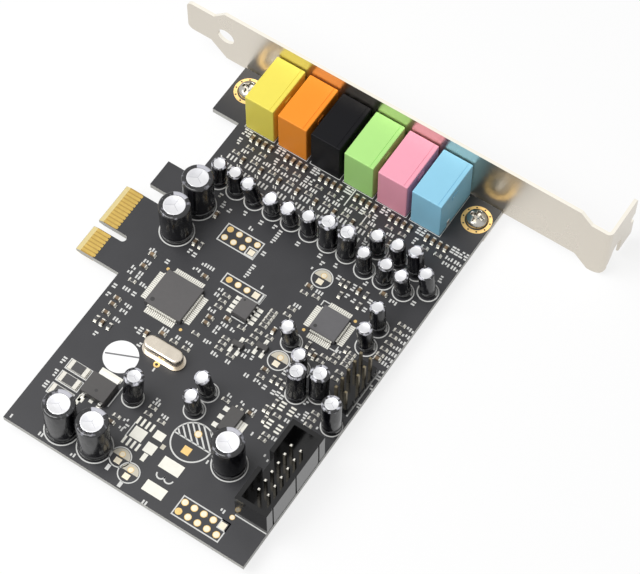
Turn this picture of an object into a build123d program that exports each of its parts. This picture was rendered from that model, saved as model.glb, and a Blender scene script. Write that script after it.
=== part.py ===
from build123d import *
import os
from math import radians, sin

# Sound card for a one-lane serial expansion slot, with six rear jacks.
# X runs from the edge connector across the board, Y runs towards the bracket and Z is up.
# The origin is at the key notch, on the mating edge, at the middle of the board's thickness.

# Circuit board
board_thickness = 1.57
board_width = 65.7
board_length = 108.2
near_edge = 55.5
connector_reach = 12.3
connector_near_side = 12.15
connector_far_side = 8.15
notch_width = 1.9
notch_depth = 7.6
bevel_length = 1.3
bevel_depth = 0.4
middle_lug_gap = 3.45
middle_lug_width = 7.6
middle_lug_reach = 7.9
near_lug_width = 14.2
near_lug_reach = 7.65
hole_clearance = 0.15

board_top = board_thickness / 2
board_bottom = -board_thickness / 2
board_left = connector_reach
board_right = board_left + board_width
board_far = near_edge - board_length

# Contacts on both faces of the edge connector
contact_pitch = 1.0
contact_width = 0.7
contact_end = 5.15
contact_thickness = 0.05
contact_offset = 1.5
near_contact_count = 11
far_contact_count = 7

# Bracket of folded sheet: a tongue at one end, a bent tab with a screw slot at the other
sheet = 0.86
bracket_gap = 0.3
bracket_low = -0.3
bracket_height = 18.42
bracket_length = 98.9
shoulder_x = -1.2
shoulder_low_cut = 4.5
shoulder_high_cut = 3.3
tongue_reach = 11.2
tongue_corner = 1.7
tongue_hole_radius = 2.4
jog_high = 3.0
jog_low = 3.7
lower_corner = 4.0
tab_from_jog = 8.3
tab_reach = 11.4
tab_corner = 1.0
tab_lower_rise = 0.8
inner_bend_radius = 0.5
slot_width = 4.4
slot_centre = 3.85
slot_top = 5.8
prong_drop = 2.6
prong_outer_corner = 2.4
prong_inner_corner = 1.4
nick_radius = 1.6
nick_rise = 7.3

bracket_inner = near_edge + bracket_gap
bracket_outer = bracket_inner + sheet
bracket_high = bracket_low + bracket_height
bracket_middle = bracket_low + bracket_height / 2
jog_x = shoulder_x + bracket_length
tongue_low = bracket_low + shoulder_low_cut
tongue_high = bracket_high - shoulder_high_cut
tongue_tip = shoulder_x - tongue_reach
tab_face_x = jog_x + tab_from_jog
tab_inner_x = tab_face_x - sheet
tab_high = bracket_high - jog_high
tab_low = bracket_low - jog_low
tab_end_y = bracket_outer + tab_reach
slot_y = bracket_outer + slot_centre
slot_side_z = bracket_low + slot_top - slot_width / 2
prong_low = bracket_low - prong_drop

# Screws that hold the board to two feet of the bracket
screw_from_near_edge = 5.3
left_screw_inset = -3.1
right_screw_inset = 3.8
screw_radius = 1.5
screw_hole_clearance = 0.2
screw_thread_clearance = 0.05
screw_head_radius = 2.6
screw_head_height = 1.9
screw_recess_width = 0.8
screw_recess_length = 3.0
screw_recess_depth = 1.0
screw_stickout = 0.9
foot_width = 7.6
foot_reach = 9.4

screw_y = near_edge - screw_from_near_edge
screw_xs = [board_left + left_screw_inset, board_right - right_screw_inset]

# Six jacks in a row, each with a bore for a 3.5 mm plug
jack_colours = ["yellow", "orange", "black", "green", "pink", "blue"]
jack_width = 8.1
jack_depth = 13.9
jack_height = 12.9
jack_from_screw = 9.05
jack_edge = 0.25
jack_axis_height = 6.6
jack_bore_radius = 1.8
jack_bore_depth = 14.5
snout_radius = 3.2
snout_hole_clearance = 0.2
snout_proud = 0.9
leaf_thickness = 0.4
leaf_width = 1.8
leaf_clearance = 0.1
leaf_above_axis = 1.2
leaf_tail_width = 0.8
leaf_spacing = 4.0
first_leaf_from_back = 2.6
lid_seam_inset = 1.1
lid_seam_width = 0.14
lid_seam_depth = 0.1

jack_back = near_edge
jack_front = jack_back - jack_depth
jack_axis_z = board_top + jack_axis_height
snout_end = bracket_outer + snout_proud
first_jack_x = screw_xs[0] + jack_from_screw
last_jack_x = screw_xs[1] - jack_from_screw
jack_pitch = (last_jack_x - first_jack_x) / (len(jack_colours) - 1)
jack_xs = [first_jack_x + number * jack_pitch for number in range(len(jack_colours))]
leaf_offset = jack_bore_radius + leaf_clearance + leaf_thickness / 2
leaf_sides = [1, -1, 1]
leaf_ys = [jack_back - first_leaf_from_back - number * leaf_spacing for number in range(len(leaf_sides))]

# Leads under the board
lead_stickout = 1.2
lead_tip = board_bottom - lead_stickout

# Electrolytic capacitors: place across and along the board, then lean towards +X and +Y in degrees
can_standoff = 0.2
can_groove_height = 1.5
can_groove_depth = 0.25
can_top_edge = 0.35
can_rim = 0.6
can_rim_depth = 0.15

small_can_diameter = 3.8
small_can_height = 7.5
small_lead_pitch = 1.5
small_lead_diameter = 0.45

medium_can_diameter = 4.7
medium_can_height = 10.4
medium_lead_pitch = 2.0
medium_lead_diameter = 0.5

large_can_diameter = 7.65
large_can_height = 11.8
large_lead_pitch = 3.5
large_lead_diameter = 0.6

# The long row stands in front of the jacks, as far along the board as it has room
can_row_from_jacks = 16.2
can_row_pitch = 5.2
can_row_inset = 5.1
can_row_end_inset = 24.0
can_row_mediums = 2
can_row_leans = [(3, 2), (-3, 2), (-10, -5), (1, -8), (-2, -7), (-3, 0)]
can_row_y = jack_front - can_row_from_jacks
can_row_count = 1 + int((board_width - can_row_inset - can_row_end_inset) / can_row_pitch)
can_row_xs = [board_left + can_row_inset + number * can_row_pitch for number in range(can_row_count)]
small_row_xs = can_row_xs[:-can_row_mediums]
medium_row_xs = can_row_xs[-can_row_mediums:]

# Chips that the smaller parts are placed around
controller_x = board_left + 14.7
controller_y = -6.4
memory_x = board_left + 30.1
memory_y = -0.1
codec_x = board_right - 17.1
codec_y = jack_front - 34.2
small_regulator_x = board_right - 22.0
small_regulator_y = board_far + 27.2
regulator_x = board_left + 14.3
regulator_y = board_far + 17.2
crystal_x = board_left + 21.3
crystal_y = board_far + 32.8

# Other cans stand in front of the right-hand jacks, at the right edge, by a chip or at the far end
small_can_places = [
    (x, can_row_y, *can_row_leans[number % len(can_row_leans)]) for number, x in enumerate(small_row_xs)
] + [
    (board_right - 18.8, can_row_y + 4.9, 0, -3),
    (board_right - 13.1, can_row_y + 5.2, -3, -2),
    (board_right - 8.1, can_row_y + 5.1, -7, 5),
    (board_right - 18.5, can_row_y - 1.1, -3, 0),
    (board_right - 13.3, can_row_y - 1.1, 3, 2),
    (board_right - 7.8, can_row_y - 1.1, -5, -4),
    (board_right - 3.0, can_row_y + 2.1, -7, 0),
    (codec_x + 9.6, codec_y + 5.7, -7, 7),
    (codec_x + 9.9, codec_y + 0.2, -6, 2),
    (memory_x + 13.6, memory_y - 0.9, -6, -3),
    (board_right - 16.6, board_far + 46.9, 0, 0),
    (small_regulator_x - 8.7, small_regulator_y + 3.4, -6, -5),
    (small_regulator_x - 8.7, small_regulator_y - 1.9, -3, -3),
]
medium_can_places = [(x, can_row_y, 0, 0) for x in medium_row_xs] + [
    (board_right - 13.8, board_far + 41.3, -1, 3),
    (board_right - 9.5, board_far + 44.1, 1, 1),
    (board_right - 2.6, board_far + 39.0, -2, 2),
    (crystal_x + 0.3, crystal_y - 12.7, 4, 3),
]
large_can_places = [
    (board_left + 5.1, can_row_y - 8.2, 0, 2),
    (board_left + 4.8, can_row_y - 16.8, 0, 0),
    (board_left + 12.9, board_far + 5.0, 0, 2),
    (board_left + 21.6, board_far + 5.5, 0, 2),
    (board_right - 16.4, board_far + 18.5, 0, 0),
]

# Pin headers on a 2.54 mm grid
pin_pitch = 2.54
pin_side = 0.64
pin_point = 0.15
pin_clearance = 0.03
pin_hole_clearance = 0.07
pin_hole_radius = pin_side * sin(radians(45)) + pin_hole_clearance

shroud_width = 8.5
shroud_height = 8.8
shroud_wall = 1.1
shroud_floor = 2.5
shroud_end_length = 5.15
shroud_key_width = 4.5
shroud_groove_width = 0.5
shroud_groove_depth = 0.25
shroud_groove_spacing = 9.05
shroud_grooves = 3
shroud_edge_inset = 0.05
shroud_pin_height = 7.8
shroud_rows = 6
shroud_from_far_edge = 9.4

open_header_rows = 5
open_header_inset = 3.8
open_header_from_far_edge = 49.6
open_header_base = 2.54
open_header_pin_height = 8.5
open_header_corner = 0.5
missing_pin_row = 1

shroud_length = (shroud_rows - 1) * pin_pitch + 2 * shroud_end_length
shroud_x = board_right - shroud_edge_inset - shroud_width / 2
shroud_y = board_far + shroud_from_far_edge + shroud_length / 2
open_header_x = board_right - open_header_inset
open_header_y = board_far + open_header_from_far_edge

# Chips with gull-wing leads
chip_standoff = 0.1
lead_thickness = 0.15
lead_shoulder = 0.25
lead_foot = 0.55
lead_run = 1.0
lead_exit_height = 0.7

controller_side = 10.0
controller_height = 1.4
controller_lead_pitch = 0.5
controller_lead_width = 0.22
controller_leads_per_side = 16

codec_side = 7.0
codec_height = 1.4
codec_lead_pitch = 0.5
codec_lead_width = 0.22
codec_leads_per_side = 12

memory_width = 3.9
memory_length = 4.9
memory_height = 1.45
memory_lead_pitch = 1.27
memory_lead_width = 0.41
memory_leads_per_side = 4

small_regulator_width = 3.5
small_regulator_length = 6.5
small_regulator_height = 1.6
small_regulator_lead_pitch = 2.3
small_regulator_lead_width = 0.7
small_regulator_lead_count = 3
small_regulator_tab_width = 3.0

transistor_width = 1.3
transistor_length = 2.9
transistor_height = 1.1
transistor_lead_pitch = 1.9
transistor_lead_width = 0.4
transistor_places = [(memory_x + 3.8, memory_y - 8.4), (memory_x + 8.8, memory_y - 5.8)]

# Main regulator: a moulded body over a metal plate, with two leads
regulator_width = 6.6
regulator_length = 5.7
regulator_height = 2.3
regulator_plate_width = 5.3
regulator_plate_thickness = 0.5
regulator_plate_proud = 1.8
regulator_plate_inside = 4.6
regulator_lead_pitch = 4.56
regulator_lead_width = 0.8

# Crystal in a sealed oval can
crystal_flange_length = 11.3
crystal_flange_width = 4.7
crystal_flange_height = 0.5
crystal_can_length = 10.3
crystal_can_width = 3.8
crystal_height = 3.5
crystal_top_edge = 0.6
crystal_lead_pitch = 4.88
crystal_lead_diameter = 0.43

# Round paper label
label_radius = 4.2
label_thickness = 0.1
label_x = crystal_x - 8.0
label_y = crystal_y - 5.8

# Chip resistors and chip capacitors
chip_length = 1.6
chip_width = 0.8
resistor_height = 0.45
capacitor_height = 0.8
power_chip_length = 5.0
power_chip_width = 2.5
power_chip_height = 0.6
power_chip_x = regulator_x - 7.1
power_chip_pitch = 3.6
power_chip_count = 3
first_power_chip_y = regulator_y + 1.9

# Filter parts repeat along the jacks, some with the pitch of the row of cans and some in wider groups
filter_count = 9
filter_x = board_left + 4.2
series_resistor_y = jack_front - 7.5
shunt_capacitor_y = jack_front - 8.4
shunt_capacitor_shift = 2.6
group_count = 6
group_pitch = 9.9
input_resistor_y = jack_front - 4.6
input_resistor_shifts = [2.1, 5.7]
coupling_capacitor_y = jack_front - 2.1
coupling_capacitor_shifts = [1.1, 2.85, 4.6, 6.35]

# Places of the other chip parts, measured from the chip that each group stands around
resistors_across = [
    (controller_x, controller_y, [(-10.8, -1.7)]),
    (memory_x, memory_y, [(-5.7, 0.9), (-5.7, -0.8), (-5.7, -2.5), (1.9, -4.2), (-6.0, -11.2)]),
    (memory_x, memory_y, [(0.5, -8.4), (0.5, -9.8), (0.6, -11.4), (3.9, -11.5), (8.7, -2.7)]),
    (memory_x, memory_y, [(5.8, 3.4), (5.8, 2.35), (5.8, 1.3), (5.8, 0.25)]),
    (memory_x, memory_y, [(5.8, -0.9), (5.8, -2.8), (5.7, -4.5), (5.6, -6.2)]),
    (codec_x, codec_y, [(-9.7, -1.1), (-9.7, -3.0), (-9.7, 4.0), (-6.8, 4.6)]),
    (codec_x, codec_y, [(13.8, 9.4), (13.8, 7.5), (13.8, 5.7), (13.8, 3.7), (13.8, 1.9), (13.8, 0.2)]),
    (codec_x, codec_y, [(3.4, -7.3), (3.3, -8.9), (5.6, -5.7), (5.6, -7.2)]),
    (codec_x, codec_y, [(8.4, -3.3), (8.4, -4.4), (8.4, -5.5), (8.4, -6.6), (8.5, -8.8), (8.5, -10.7)]),
    (crystal_x, crystal_y, [(-0.2, 4.1), (3.2, 4.1), (5.6, -12.3), (5.6, -14.1), (9.2, -14.1)]),
    (regulator_x, regulator_y, [(7.0, -2.9)]),
    (small_regulator_x, small_regulator_y, [(-4.2, 4.0), (-0.5, 3.9), (-1.0, 13.4), (7.7, 7.2)]),
    (small_regulator_x, small_regulator_y, [(8.3, 1.9), (8.2, 0.5), (14.6, 12.5), (14.7, 10.8), (14.8, 9.1)]),
]
resistors_along = [
    (controller_x, controller_y, [(-8.2, -14.4), (-11.8, -14.4), (-2.9, 14.8)]),
    (codec_x, codec_y, [(-3.9, 11.2), (-2.5, 11.3), (2.7, 11.4), (-2.4, 8.1), (2.8, 8.1)]),
    (codec_x, codec_y, [(-1.3, -6.8), (0.3, -8.0), (6.7, -3.0)]),
    (small_regulator_x, small_regulator_y, [(1.7, 14.4), (3.3, 14.5), (4.7, 14.2)]),
    (small_regulator_x, small_regulator_y, [(5.6, 9.7), (4.5, 7.3), (5.6, 7.3), (5.9, 4.9)]),
]
capacitors_across = [
    (controller_x, controller_y, [(-10.9, 6.5), (-10.8, 2.9), (-10.9, -7.5), (-10.9, -9.3), (-10.9, -11.9)]),
    (controller_x, controller_y, [(2.7, 8.5)]),
    (memory_x, memory_y, [(-5.6, -6.0), (-5.6, -7.7), (-2.0, -4.1)]),
    (codec_x, codec_y, [(-9.6, 6.0), (5.9, 13.8), (13.8, -1.1)]),
    (crystal_x, crystal_y, [(-3.5, 4.3)]),
    (regulator_x, regulator_y, [(6.8, -4.8)]),
    (small_regulator_x, small_regulator_y, [(-1.1, 15.3), (2.3, 4.2)]),
]
capacitors_along = [
    (controller_x, controller_y, [(-10.1, -14.5), (-4.6, 23.7), (-4.5, 14.8)]),
    (memory_x, memory_y, [(8.6, -0.7)]),
    (codec_x, codec_y, [(0.7, 11.4), (1.5, -8.6)]),
    (crystal_x, crystal_y, [(-6.6, 2.3)]),
]


def places_around(groups):
    """Places on the board of every part in the groups."""
    return [(x + across, y + along) for x, y, offsets in groups for across, along in offsets]


def lead_rows(pitch, count):
    """Places of evenly spaced leads about the middle of a chip's side."""
    return [(number - (count - 1) / 2) * pitch for number in range(count)]


def lead_places(can_places, pitch):
    """Both lead centres of each can, in line with Y."""
    return [(x, y + side * pitch / 2) for x, y, _, _ in can_places for side in (-1, 1)]


shroud_pin_places = [
    (shroud_x + across, shroud_y + along)
    for across in lead_rows(pin_pitch, 2)
    for along in lead_rows(pin_pitch, shroud_rows)
]
open_pin_places = [
    (open_header_x + across, open_header_y + along)
    for column, across in enumerate(lead_rows(pin_pitch, 2))
    for row, along in enumerate(lead_rows(pin_pitch, open_header_rows))
    if not (column == 1 and row == missing_pin_row)
]
leaf_places = [
    (x + side * leaf_offset, y)
    for x in jack_xs
    for y, side in zip(leaf_ys, leaf_sides)
]
crystal_lead_places = [(crystal_x + along, crystal_y) for along in lead_rows(crystal_lead_pitch, 2)]
screw_places = [(x, screw_y) for x in screw_xs]

board_holes = [
    (lead_places(small_can_places, small_lead_pitch), small_lead_diameter / 2 + hole_clearance),
    (lead_places(medium_can_places, medium_lead_pitch), medium_lead_diameter / 2 + hole_clearance),
    (lead_places(large_can_places, large_lead_pitch), large_lead_diameter / 2 + hole_clearance),
    (shroud_pin_places + open_pin_places, pin_hole_radius),
    (leaf_places, leaf_tail_width / 2 + hole_clearance),
    (crystal_lead_places, crystal_lead_diameter / 2 + hole_clearance),
    (screw_places, screw_radius + screw_hole_clearance),
]
middle_lug_near = connector_near_side + middle_lug_gap + middle_lug_width
middle_lug_far = connector_near_side + middle_lug_gap
near_lug_far = near_edge - near_lug_width

# Circuit board with its connector tab, two lugs and every hole
with BuildPart() as circuit_board:
    with BuildSketch(Plane.XY.offset(board_bottom)):
        with BuildLine():
            Polyline(
                (board_left, board_far),
                (board_right, board_far),
                (board_right, near_edge),
                (board_left - near_lug_reach, near_edge),
                (board_left - near_lug_reach, near_lug_far),
                (board_left, near_lug_far),
                (board_left, middle_lug_near),
                (board_left - middle_lug_reach, middle_lug_near),
                (board_left - middle_lug_reach, middle_lug_far),
                (board_left, middle_lug_far),
                (board_left, connector_near_side),
                (0, connector_near_side),
                (0, -connector_far_side),
                (board_left, -connector_far_side),
                close=True,
            )
        make_face()
        for places, radius in board_holes:
            with Locations(*places):
                Circle(radius, mode=Mode.SUBTRACT)
    extrude(amount=board_thickness)
    mating_edges = circuit_board.edges().filter_by(Axis.Y).group_by(Axis.X)[0]
    mating_face = circuit_board.faces().filter_by(Axis.X).sort_by(Axis.X)[0]
    chamfer(mating_edges, length=bevel_depth, length2=bevel_length, reference=mating_face)
    with BuildSketch(Plane.XY.offset(board_bottom)):
        with Locations((notch_depth / 2, 0)):
            Rectangle(notch_depth, notch_width)
        with Locations((notch_depth, 0)):
            Circle(notch_width / 2)
    extrude(amount=board_thickness, mode=Mode.SUBTRACT)
circuit_board.part.label = "circuit_board"

# Gold contacts, the same on both faces
contact_ys = [contact_offset + number * contact_pitch for number in range(near_contact_count)] + [
    -contact_offset - number * contact_pitch for number in range(far_contact_count)
]
contact_length = contact_end - bevel_length
with BuildPart() as edge_contacts:
    for z in (board_top + contact_thickness / 2, board_bottom - contact_thickness / 2):
        with Locations(*[(bevel_length + contact_length / 2, y, z) for y in contact_ys]):
            Box(contact_length, contact_width, contact_thickness)
edge_contacts.part.label = "edge_contacts"

# Bracket: a plate and a tab folded outwards, cut to outline, and two feet folded under the board
foot_top = board_bottom
foot_bottom = foot_top - sheet
bend_start_x = tab_inner_x - inner_bend_radius
bend_end_y = bracket_outer + inner_bend_radius
inner_bend_middle = inner_bend_radius * sin(radians(45))
outer_bend_middle = (inner_bend_radius + sheet) * sin(radians(45))
with BuildPart() as mounting_bracket:
    with BuildSketch(Plane.XY.offset(tab_low)):
        with BuildLine():
            Polyline((bend_start_x, bracket_outer), (tongue_tip, bracket_outer), (tongue_tip, bracket_inner))
            Line((tongue_tip, bracket_inner), (bend_start_x, bracket_inner))
            ThreePointArc(
                (bend_start_x, bracket_inner),
                (bend_start_x + outer_bend_middle, bend_end_y - outer_bend_middle),
                (tab_face_x, bend_end_y),
            )
            Polyline((tab_face_x, bend_end_y), (tab_face_x, tab_end_y), (tab_inner_x, tab_end_y))
            Line((tab_inner_x, tab_end_y), (tab_inner_x, bend_end_y))
            ThreePointArc(
                (tab_inner_x, bend_end_y),
                (bend_start_x + inner_bend_middle, bend_end_y - inner_bend_middle),
                (bend_start_x, bracket_outer),
            )
        make_face()
    extrude(amount=bracket_high - tab_low)
    with BuildSketch(Plane.XZ.offset(-tab_end_y)) as plate:
        with BuildLine():
            Polyline(
                (shoulder_x, bracket_low),
                (jog_x, bracket_low),
                (jog_x + jog_low, tab_low),
                (tab_face_x, tab_low),
                (tab_face_x, tab_high),
                (jog_x + jog_high, tab_high),
                (jog_x, bracket_high),
                (shoulder_x, bracket_high),
                (shoulder_x - shoulder_high_cut, tongue_high),
                (tongue_tip, tongue_high),
                (tongue_tip, tongue_low),
                (shoulder_x - shoulder_low_cut, tongue_low),
                close=True,
            )
        make_face()
        fillet(plate.vertices().group_by(Axis.X)[0], tongue_corner)
        fillet(plate.vertices().group_by(Axis.X)[-1].sort_by(Axis.Y)[0], lower_corner)
        with Locations((shoulder_x, bracket_middle)):
            Circle(tongue_hole_radius, mode=Mode.SUBTRACT)
        with Locations(*[(x, jack_axis_z) for x in jack_xs]):
            Circle(snout_radius + snout_hole_clearance, mode=Mode.SUBTRACT)
    extrude(amount=tab_end_y - bracket_inner, mode=Mode.INTERSECT)
    with BuildSketch(Plane.YZ.offset(tongue_tip)) as tab:
        with BuildLine():
            Polyline(
                (bracket_outer, tab_low),
                (bracket_inner, tab_low),
                (bracket_inner, bracket_high),
                (tab_end_y, bracket_high),
                (tab_end_y, prong_low),
                (slot_y + slot_width / 2, prong_low),
                (slot_y + slot_width / 2, slot_side_z),
            )
            ThreePointArc(
                (slot_y + slot_width / 2, slot_side_z),
                (slot_y, slot_side_z + slot_width / 2),
                (slot_y - slot_width / 2, slot_side_z),
            )
            Polyline(
                (slot_y - slot_width / 2, slot_side_z),
                (bracket_outer, bracket_low + tab_lower_rise),
                (bracket_outer, tab_low),
            )
        make_face()
        prong_corners = tab.vertices().group_by(Axis.Y)[1].sort_by(Axis.X)
        fillet(prong_corners[0], prong_inner_corner)
        fillet(prong_corners[-1], prong_outer_corner)
        with Locations((tab_end_y, bracket_low + nick_rise)):
            Circle(nick_radius, mode=Mode.SUBTRACT)
    extrude(amount=tab_face_x - tongue_tip, mode=Mode.INTERSECT)
    edges_across = mounting_bracket.edges().filter_by(Axis.X)
    fillet(edges_across.sort_by_distance((tab_face_x, tab_end_y, tab_high))[0], tab_corner)
    for x in screw_xs:
        with BuildSketch(Plane.XY.offset(foot_bottom)):
            with Locations((x, bracket_outer - foot_reach / 2)):
                Rectangle(foot_width, foot_reach)
            with Locations((x, screw_y)):
                Circle(screw_radius + screw_thread_clearance, mode=Mode.SUBTRACT)
        extrude(amount=sheet)
        with Locations((x, bracket_inner + sheet / 2, (foot_bottom + bracket_low) / 2)):
            Box(foot_width, sheet, bracket_low - foot_bottom)
mounting_bracket.part.label = "mounting_bracket"

# Two pan-head screws with cross recesses, driven down through the board into the feet
screw_tip = foot_bottom - screw_stickout
screw_head_top = board_top + screw_head_height
with BuildPart() as bracket_screws:
    with BuildSketch(Plane.XY.offset(screw_tip)):
        with Locations(*screw_places):
            Circle(screw_radius)
    extrude(amount=board_top - screw_tip)
    with BuildSketch(Plane.XY.offset(board_top)):
        with Locations(*screw_places):
            Circle(screw_head_radius)
    extrude(amount=screw_head_height)
    fillet(bracket_screws.edges().group_by(Axis.Z)[-1], screw_head_height / 2)
    with BuildSketch(Plane.XY.offset(screw_head_top)):
        with Locations(*screw_places):
            Rectangle(screw_recess_length, screw_recess_width)
            Rectangle(screw_recess_width, screw_recess_length)
    extrude(amount=-screw_recess_depth, mode=Mode.SUBTRACT)
bracket_screws.part.label = "bracket_screws"

# Jack housings: a block on the board, a snout through the bracket, a bore and pockets for the leaves
leaf_top = jack_axis_z + leaf_above_axis
pocket_top = leaf_top + leaf_clearance
pocket_thickness = leaf_thickness + 3 * leaf_clearance
jack_housings = []
for colour, jack_x in zip(jack_colours, jack_xs):
    with BuildPart() as jack_housing:
        with BuildSketch(Plane.XY.offset(board_top)):
            with Locations((jack_x, (jack_front + jack_back) / 2)):
                Rectangle(jack_width, jack_depth)
        extrude(amount=jack_height)
        top_edges = jack_housing.faces().sort_by(Axis.Z)[-1].edges()
        fillet(jack_housing.edges().filter_by(Axis.Z) + top_edges, jack_edge)
        with BuildSketch(Plane.XZ.offset(-jack_back)):
            with Locations((jack_x, jack_axis_z)):
                Circle(snout_radius)
        extrude(amount=-(snout_end - jack_back))
        with BuildSketch(Plane.XZ.offset(-snout_end)):
            with Locations((jack_x, jack_axis_z)):
                Circle(jack_bore_radius)
        extrude(amount=jack_bore_depth, mode=Mode.SUBTRACT)
        for leaf_y, side in zip(leaf_ys, leaf_sides):
            with BuildSketch(Plane.XY.offset(board_top)):
                with Locations((jack_x + side * (leaf_offset - leaf_clearance / 2), leaf_y)):
                    Rectangle(pocket_thickness, leaf_width + 2 * leaf_clearance)
            extrude(amount=pocket_top - board_top, mode=Mode.SUBTRACT)
        seam_x = jack_x + jack_width / 2 - lid_seam_inset
        with Locations((seam_x, (jack_front + jack_back) / 2, board_top + jack_height - lid_seam_depth / 2)):
            Box(lid_seam_width, jack_depth, lid_seam_depth, mode=Mode.SUBTRACT)
    jack_housing.part.label = f"{colour}_jack"
    jack_housings.append(jack_housing.part)

# Spring leaves in the jacks: tip, ring and sleeve, each with a tail through the board
with BuildPart() as jack_contacts:
    with BuildSketch(Plane.XY.offset(board_top)):
        with Locations(*leaf_places):
            Rectangle(leaf_thickness, leaf_width)
    extrude(amount=leaf_top - board_top)
    with BuildSketch(Plane.XY.offset(lead_tip)):
        with Locations(*leaf_places):
            Rectangle(leaf_thickness, leaf_tail_width)
    extrude(amount=board_top - lead_tip)
jack_contacts.part.label = "jack_contacts"


# Electrolytic capacitor: a sealed can with a crimped groove, a rolled top rim and two leads
def build_can(place, diameter, height, lead_pitch, lead_diameter):
    x, y, lean_x, lean_y = place
    radius = diameter / 2
    lift = radius * (sin(radians(abs(lean_x))) + sin(radians(abs(lean_y))))
    seat = board_top + can_standoff + lift
    base = Plane((x, y, seat)).rotated((-lean_y, lean_x, 0))
    section = Plane(base.origin, x_dir=base.x_dir, z_dir=-base.y_dir)
    groove_low = can_groove_height - 2 * can_groove_depth
    groove_high = can_groove_height + 2 * can_groove_depth
    with BuildPart() as can:
        with BuildSketch(section):
            with BuildLine():
                Polyline((0, height - can_rim_depth), (0, 0), (radius, 0), (radius, groove_low))
                ThreePointArc(
                    (radius, groove_low),
                    (radius - can_groove_depth, can_groove_height),
                    (radius, groove_high),
                )
                Line((radius, groove_high), (radius, height - can_top_edge))
                RadiusArc((radius, height - can_top_edge), (radius - can_top_edge, height), -can_top_edge)
                Polyline(
                    (radius - can_top_edge, height),
                    (radius - can_rim, height),
                    (radius - can_rim, height - can_rim_depth),
                    (0, height - can_rim_depth),
                )
            make_face()
        revolve(axis=Axis(base.origin, base.z_dir))
        with BuildSketch(Plane.XY.offset(lead_tip)):
            with Locations(*lead_places([place], lead_pitch)):
                Circle(lead_diameter / 2)
        extrude(amount=seat + can_groove_height - lead_tip)
    return can.part


small_sizes = (small_can_diameter, small_can_height, small_lead_pitch, small_lead_diameter)
medium_sizes = (medium_can_diameter, medium_can_height, medium_lead_pitch, medium_lead_diameter)
large_sizes = (large_can_diameter, large_can_height, large_lead_pitch, large_lead_diameter)
capacitors = []
for name, places, sizes in (
    ("small", small_can_places, small_sizes),
    ("medium", medium_can_places, medium_sizes),
    ("large", large_can_places, large_sizes),
):
    for number, place in enumerate(places, 1):
        can_part = build_can(place, *sizes)
        can_part.label = f"{name}_capacitor_{number:02d}"
        capacitors.append(can_part)

# Box header: an open shroud with a key gap, grooves in its outer wall and holes for two rows of pins
shroud_wall_x = shroud_width / 2
with BuildPart() as box_header_shroud:
    with BuildSketch(Plane.XY.offset(board_top)):
        with Locations((shroud_x, shroud_y)):
            Rectangle(shroud_width, shroud_length)
    extrude(amount=shroud_height)
    with BuildSketch(Plane.XY.offset(board_top + shroud_floor)):
        with Locations((shroud_x, shroud_y)):
            Rectangle(shroud_width - 2 * shroud_wall, shroud_length - 2 * shroud_wall)
        with Locations((shroud_x - shroud_wall_x + shroud_wall / 2, shroud_y)):
            Rectangle(2 * shroud_wall, shroud_key_width)
    extrude(amount=shroud_height - shroud_floor, mode=Mode.SUBTRACT)
    with BuildSketch(Plane.XY.offset(board_top)):
        with Locations(*shroud_pin_places):
            Rectangle(pin_side + 2 * pin_clearance, pin_side + 2 * pin_clearance)
        with Locations((shroud_x + shroud_wall_x, shroud_y)):
            with GridLocations(1, shroud_groove_spacing, 1, shroud_grooves):
                Rectangle(2 * shroud_groove_depth, shroud_groove_width)
    extrude(amount=shroud_height, mode=Mode.SUBTRACT)
box_header_shroud.part.label = "box_header_shroud"


# Square pins with pointed tops
def build_pins(places, height):
    with BuildPart() as pins:
        with BuildSketch(Plane.XY.offset(lead_tip)):
            with Locations(*places):
                Rectangle(pin_side, pin_side)
        extrude(amount=board_top + height - lead_tip)
        chamfer(pins.faces().group_by(Axis.Z)[-1].edges(), pin_point)
    return pins.part


box_header_pins = build_pins(shroud_pin_places, shroud_pin_height)
box_header_pins.label = "box_header_pins"
pin_header_pins = build_pins(open_pin_places, open_header_pin_height)
pin_header_pins.label = "pin_header_pins"

# Base of the open pin header: one moulded bar, waisted between the rows
with BuildPart() as pin_header_base:
    with BuildSketch(Plane.XY.offset(board_top)):
        with Locations((open_header_x, open_header_y)):
            with GridLocations(1, pin_pitch, 1, open_header_rows):
                RectangleRounded(2 * pin_pitch, pin_pitch + 2 * pin_clearance, open_header_corner)
            Rectangle(2 * pin_pitch - 2 * open_header_corner, (open_header_rows - 1) * pin_pitch)
        with Locations(*open_pin_places):
            Rectangle(pin_side + 2 * pin_clearance, pin_side + 2 * pin_clearance, mode=Mode.SUBTRACT)
    extrude(amount=open_header_base)
pin_header_base.part.label = "pin_header_base"


# Gull-wing lead that leaves a chip's side along +X and comes down to a foot on the board
def build_lead(width):
    foot_start = lead_run - lead_foot
    with BuildPart() as lead:
        with BuildSketch(Plane.XZ.offset(-width / 2)):
            with BuildLine():
                Polyline(
                    (0, lead_exit_height),
                    (lead_shoulder, lead_exit_height),
                    (foot_start, 0),
                    (lead_run, 0),
                    (lead_run, lead_thickness),
                    (foot_start + lead_thickness, lead_thickness),
                    (lead_shoulder + lead_thickness, lead_exit_height + lead_thickness),
                    (0, lead_exit_height + lead_thickness),
                    close=True,
                )
            make_face()
        extrude(amount=width)
    return lead.part


# Moulded chip body with a bevelled top edge
def build_chip(x, y, width, length, height):
    with BuildPart() as chip:
        with BuildSketch(Plane.XY.offset(board_top + chip_standoff)):
            with Locations((x, y)):
                Rectangle(width, length)
        extrude(amount=height)
        chamfer(chip.faces().sort_by(Axis.Z)[-1].edges(), chip_standoff)
    return chip.part


# Square chip with leads on all four sides
def build_leads_on_four_sides(x, y, side, pitch, width, count):
    lead = build_lead(width)
    with BuildPart() as leads:
        with Locations((x, y, board_top)):
            with PolarLocations(0, 4):
                with Locations(*[(side / 2, along) for along in lead_rows(pitch, count)]):
                    add(lead)
    return leads.part


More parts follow.
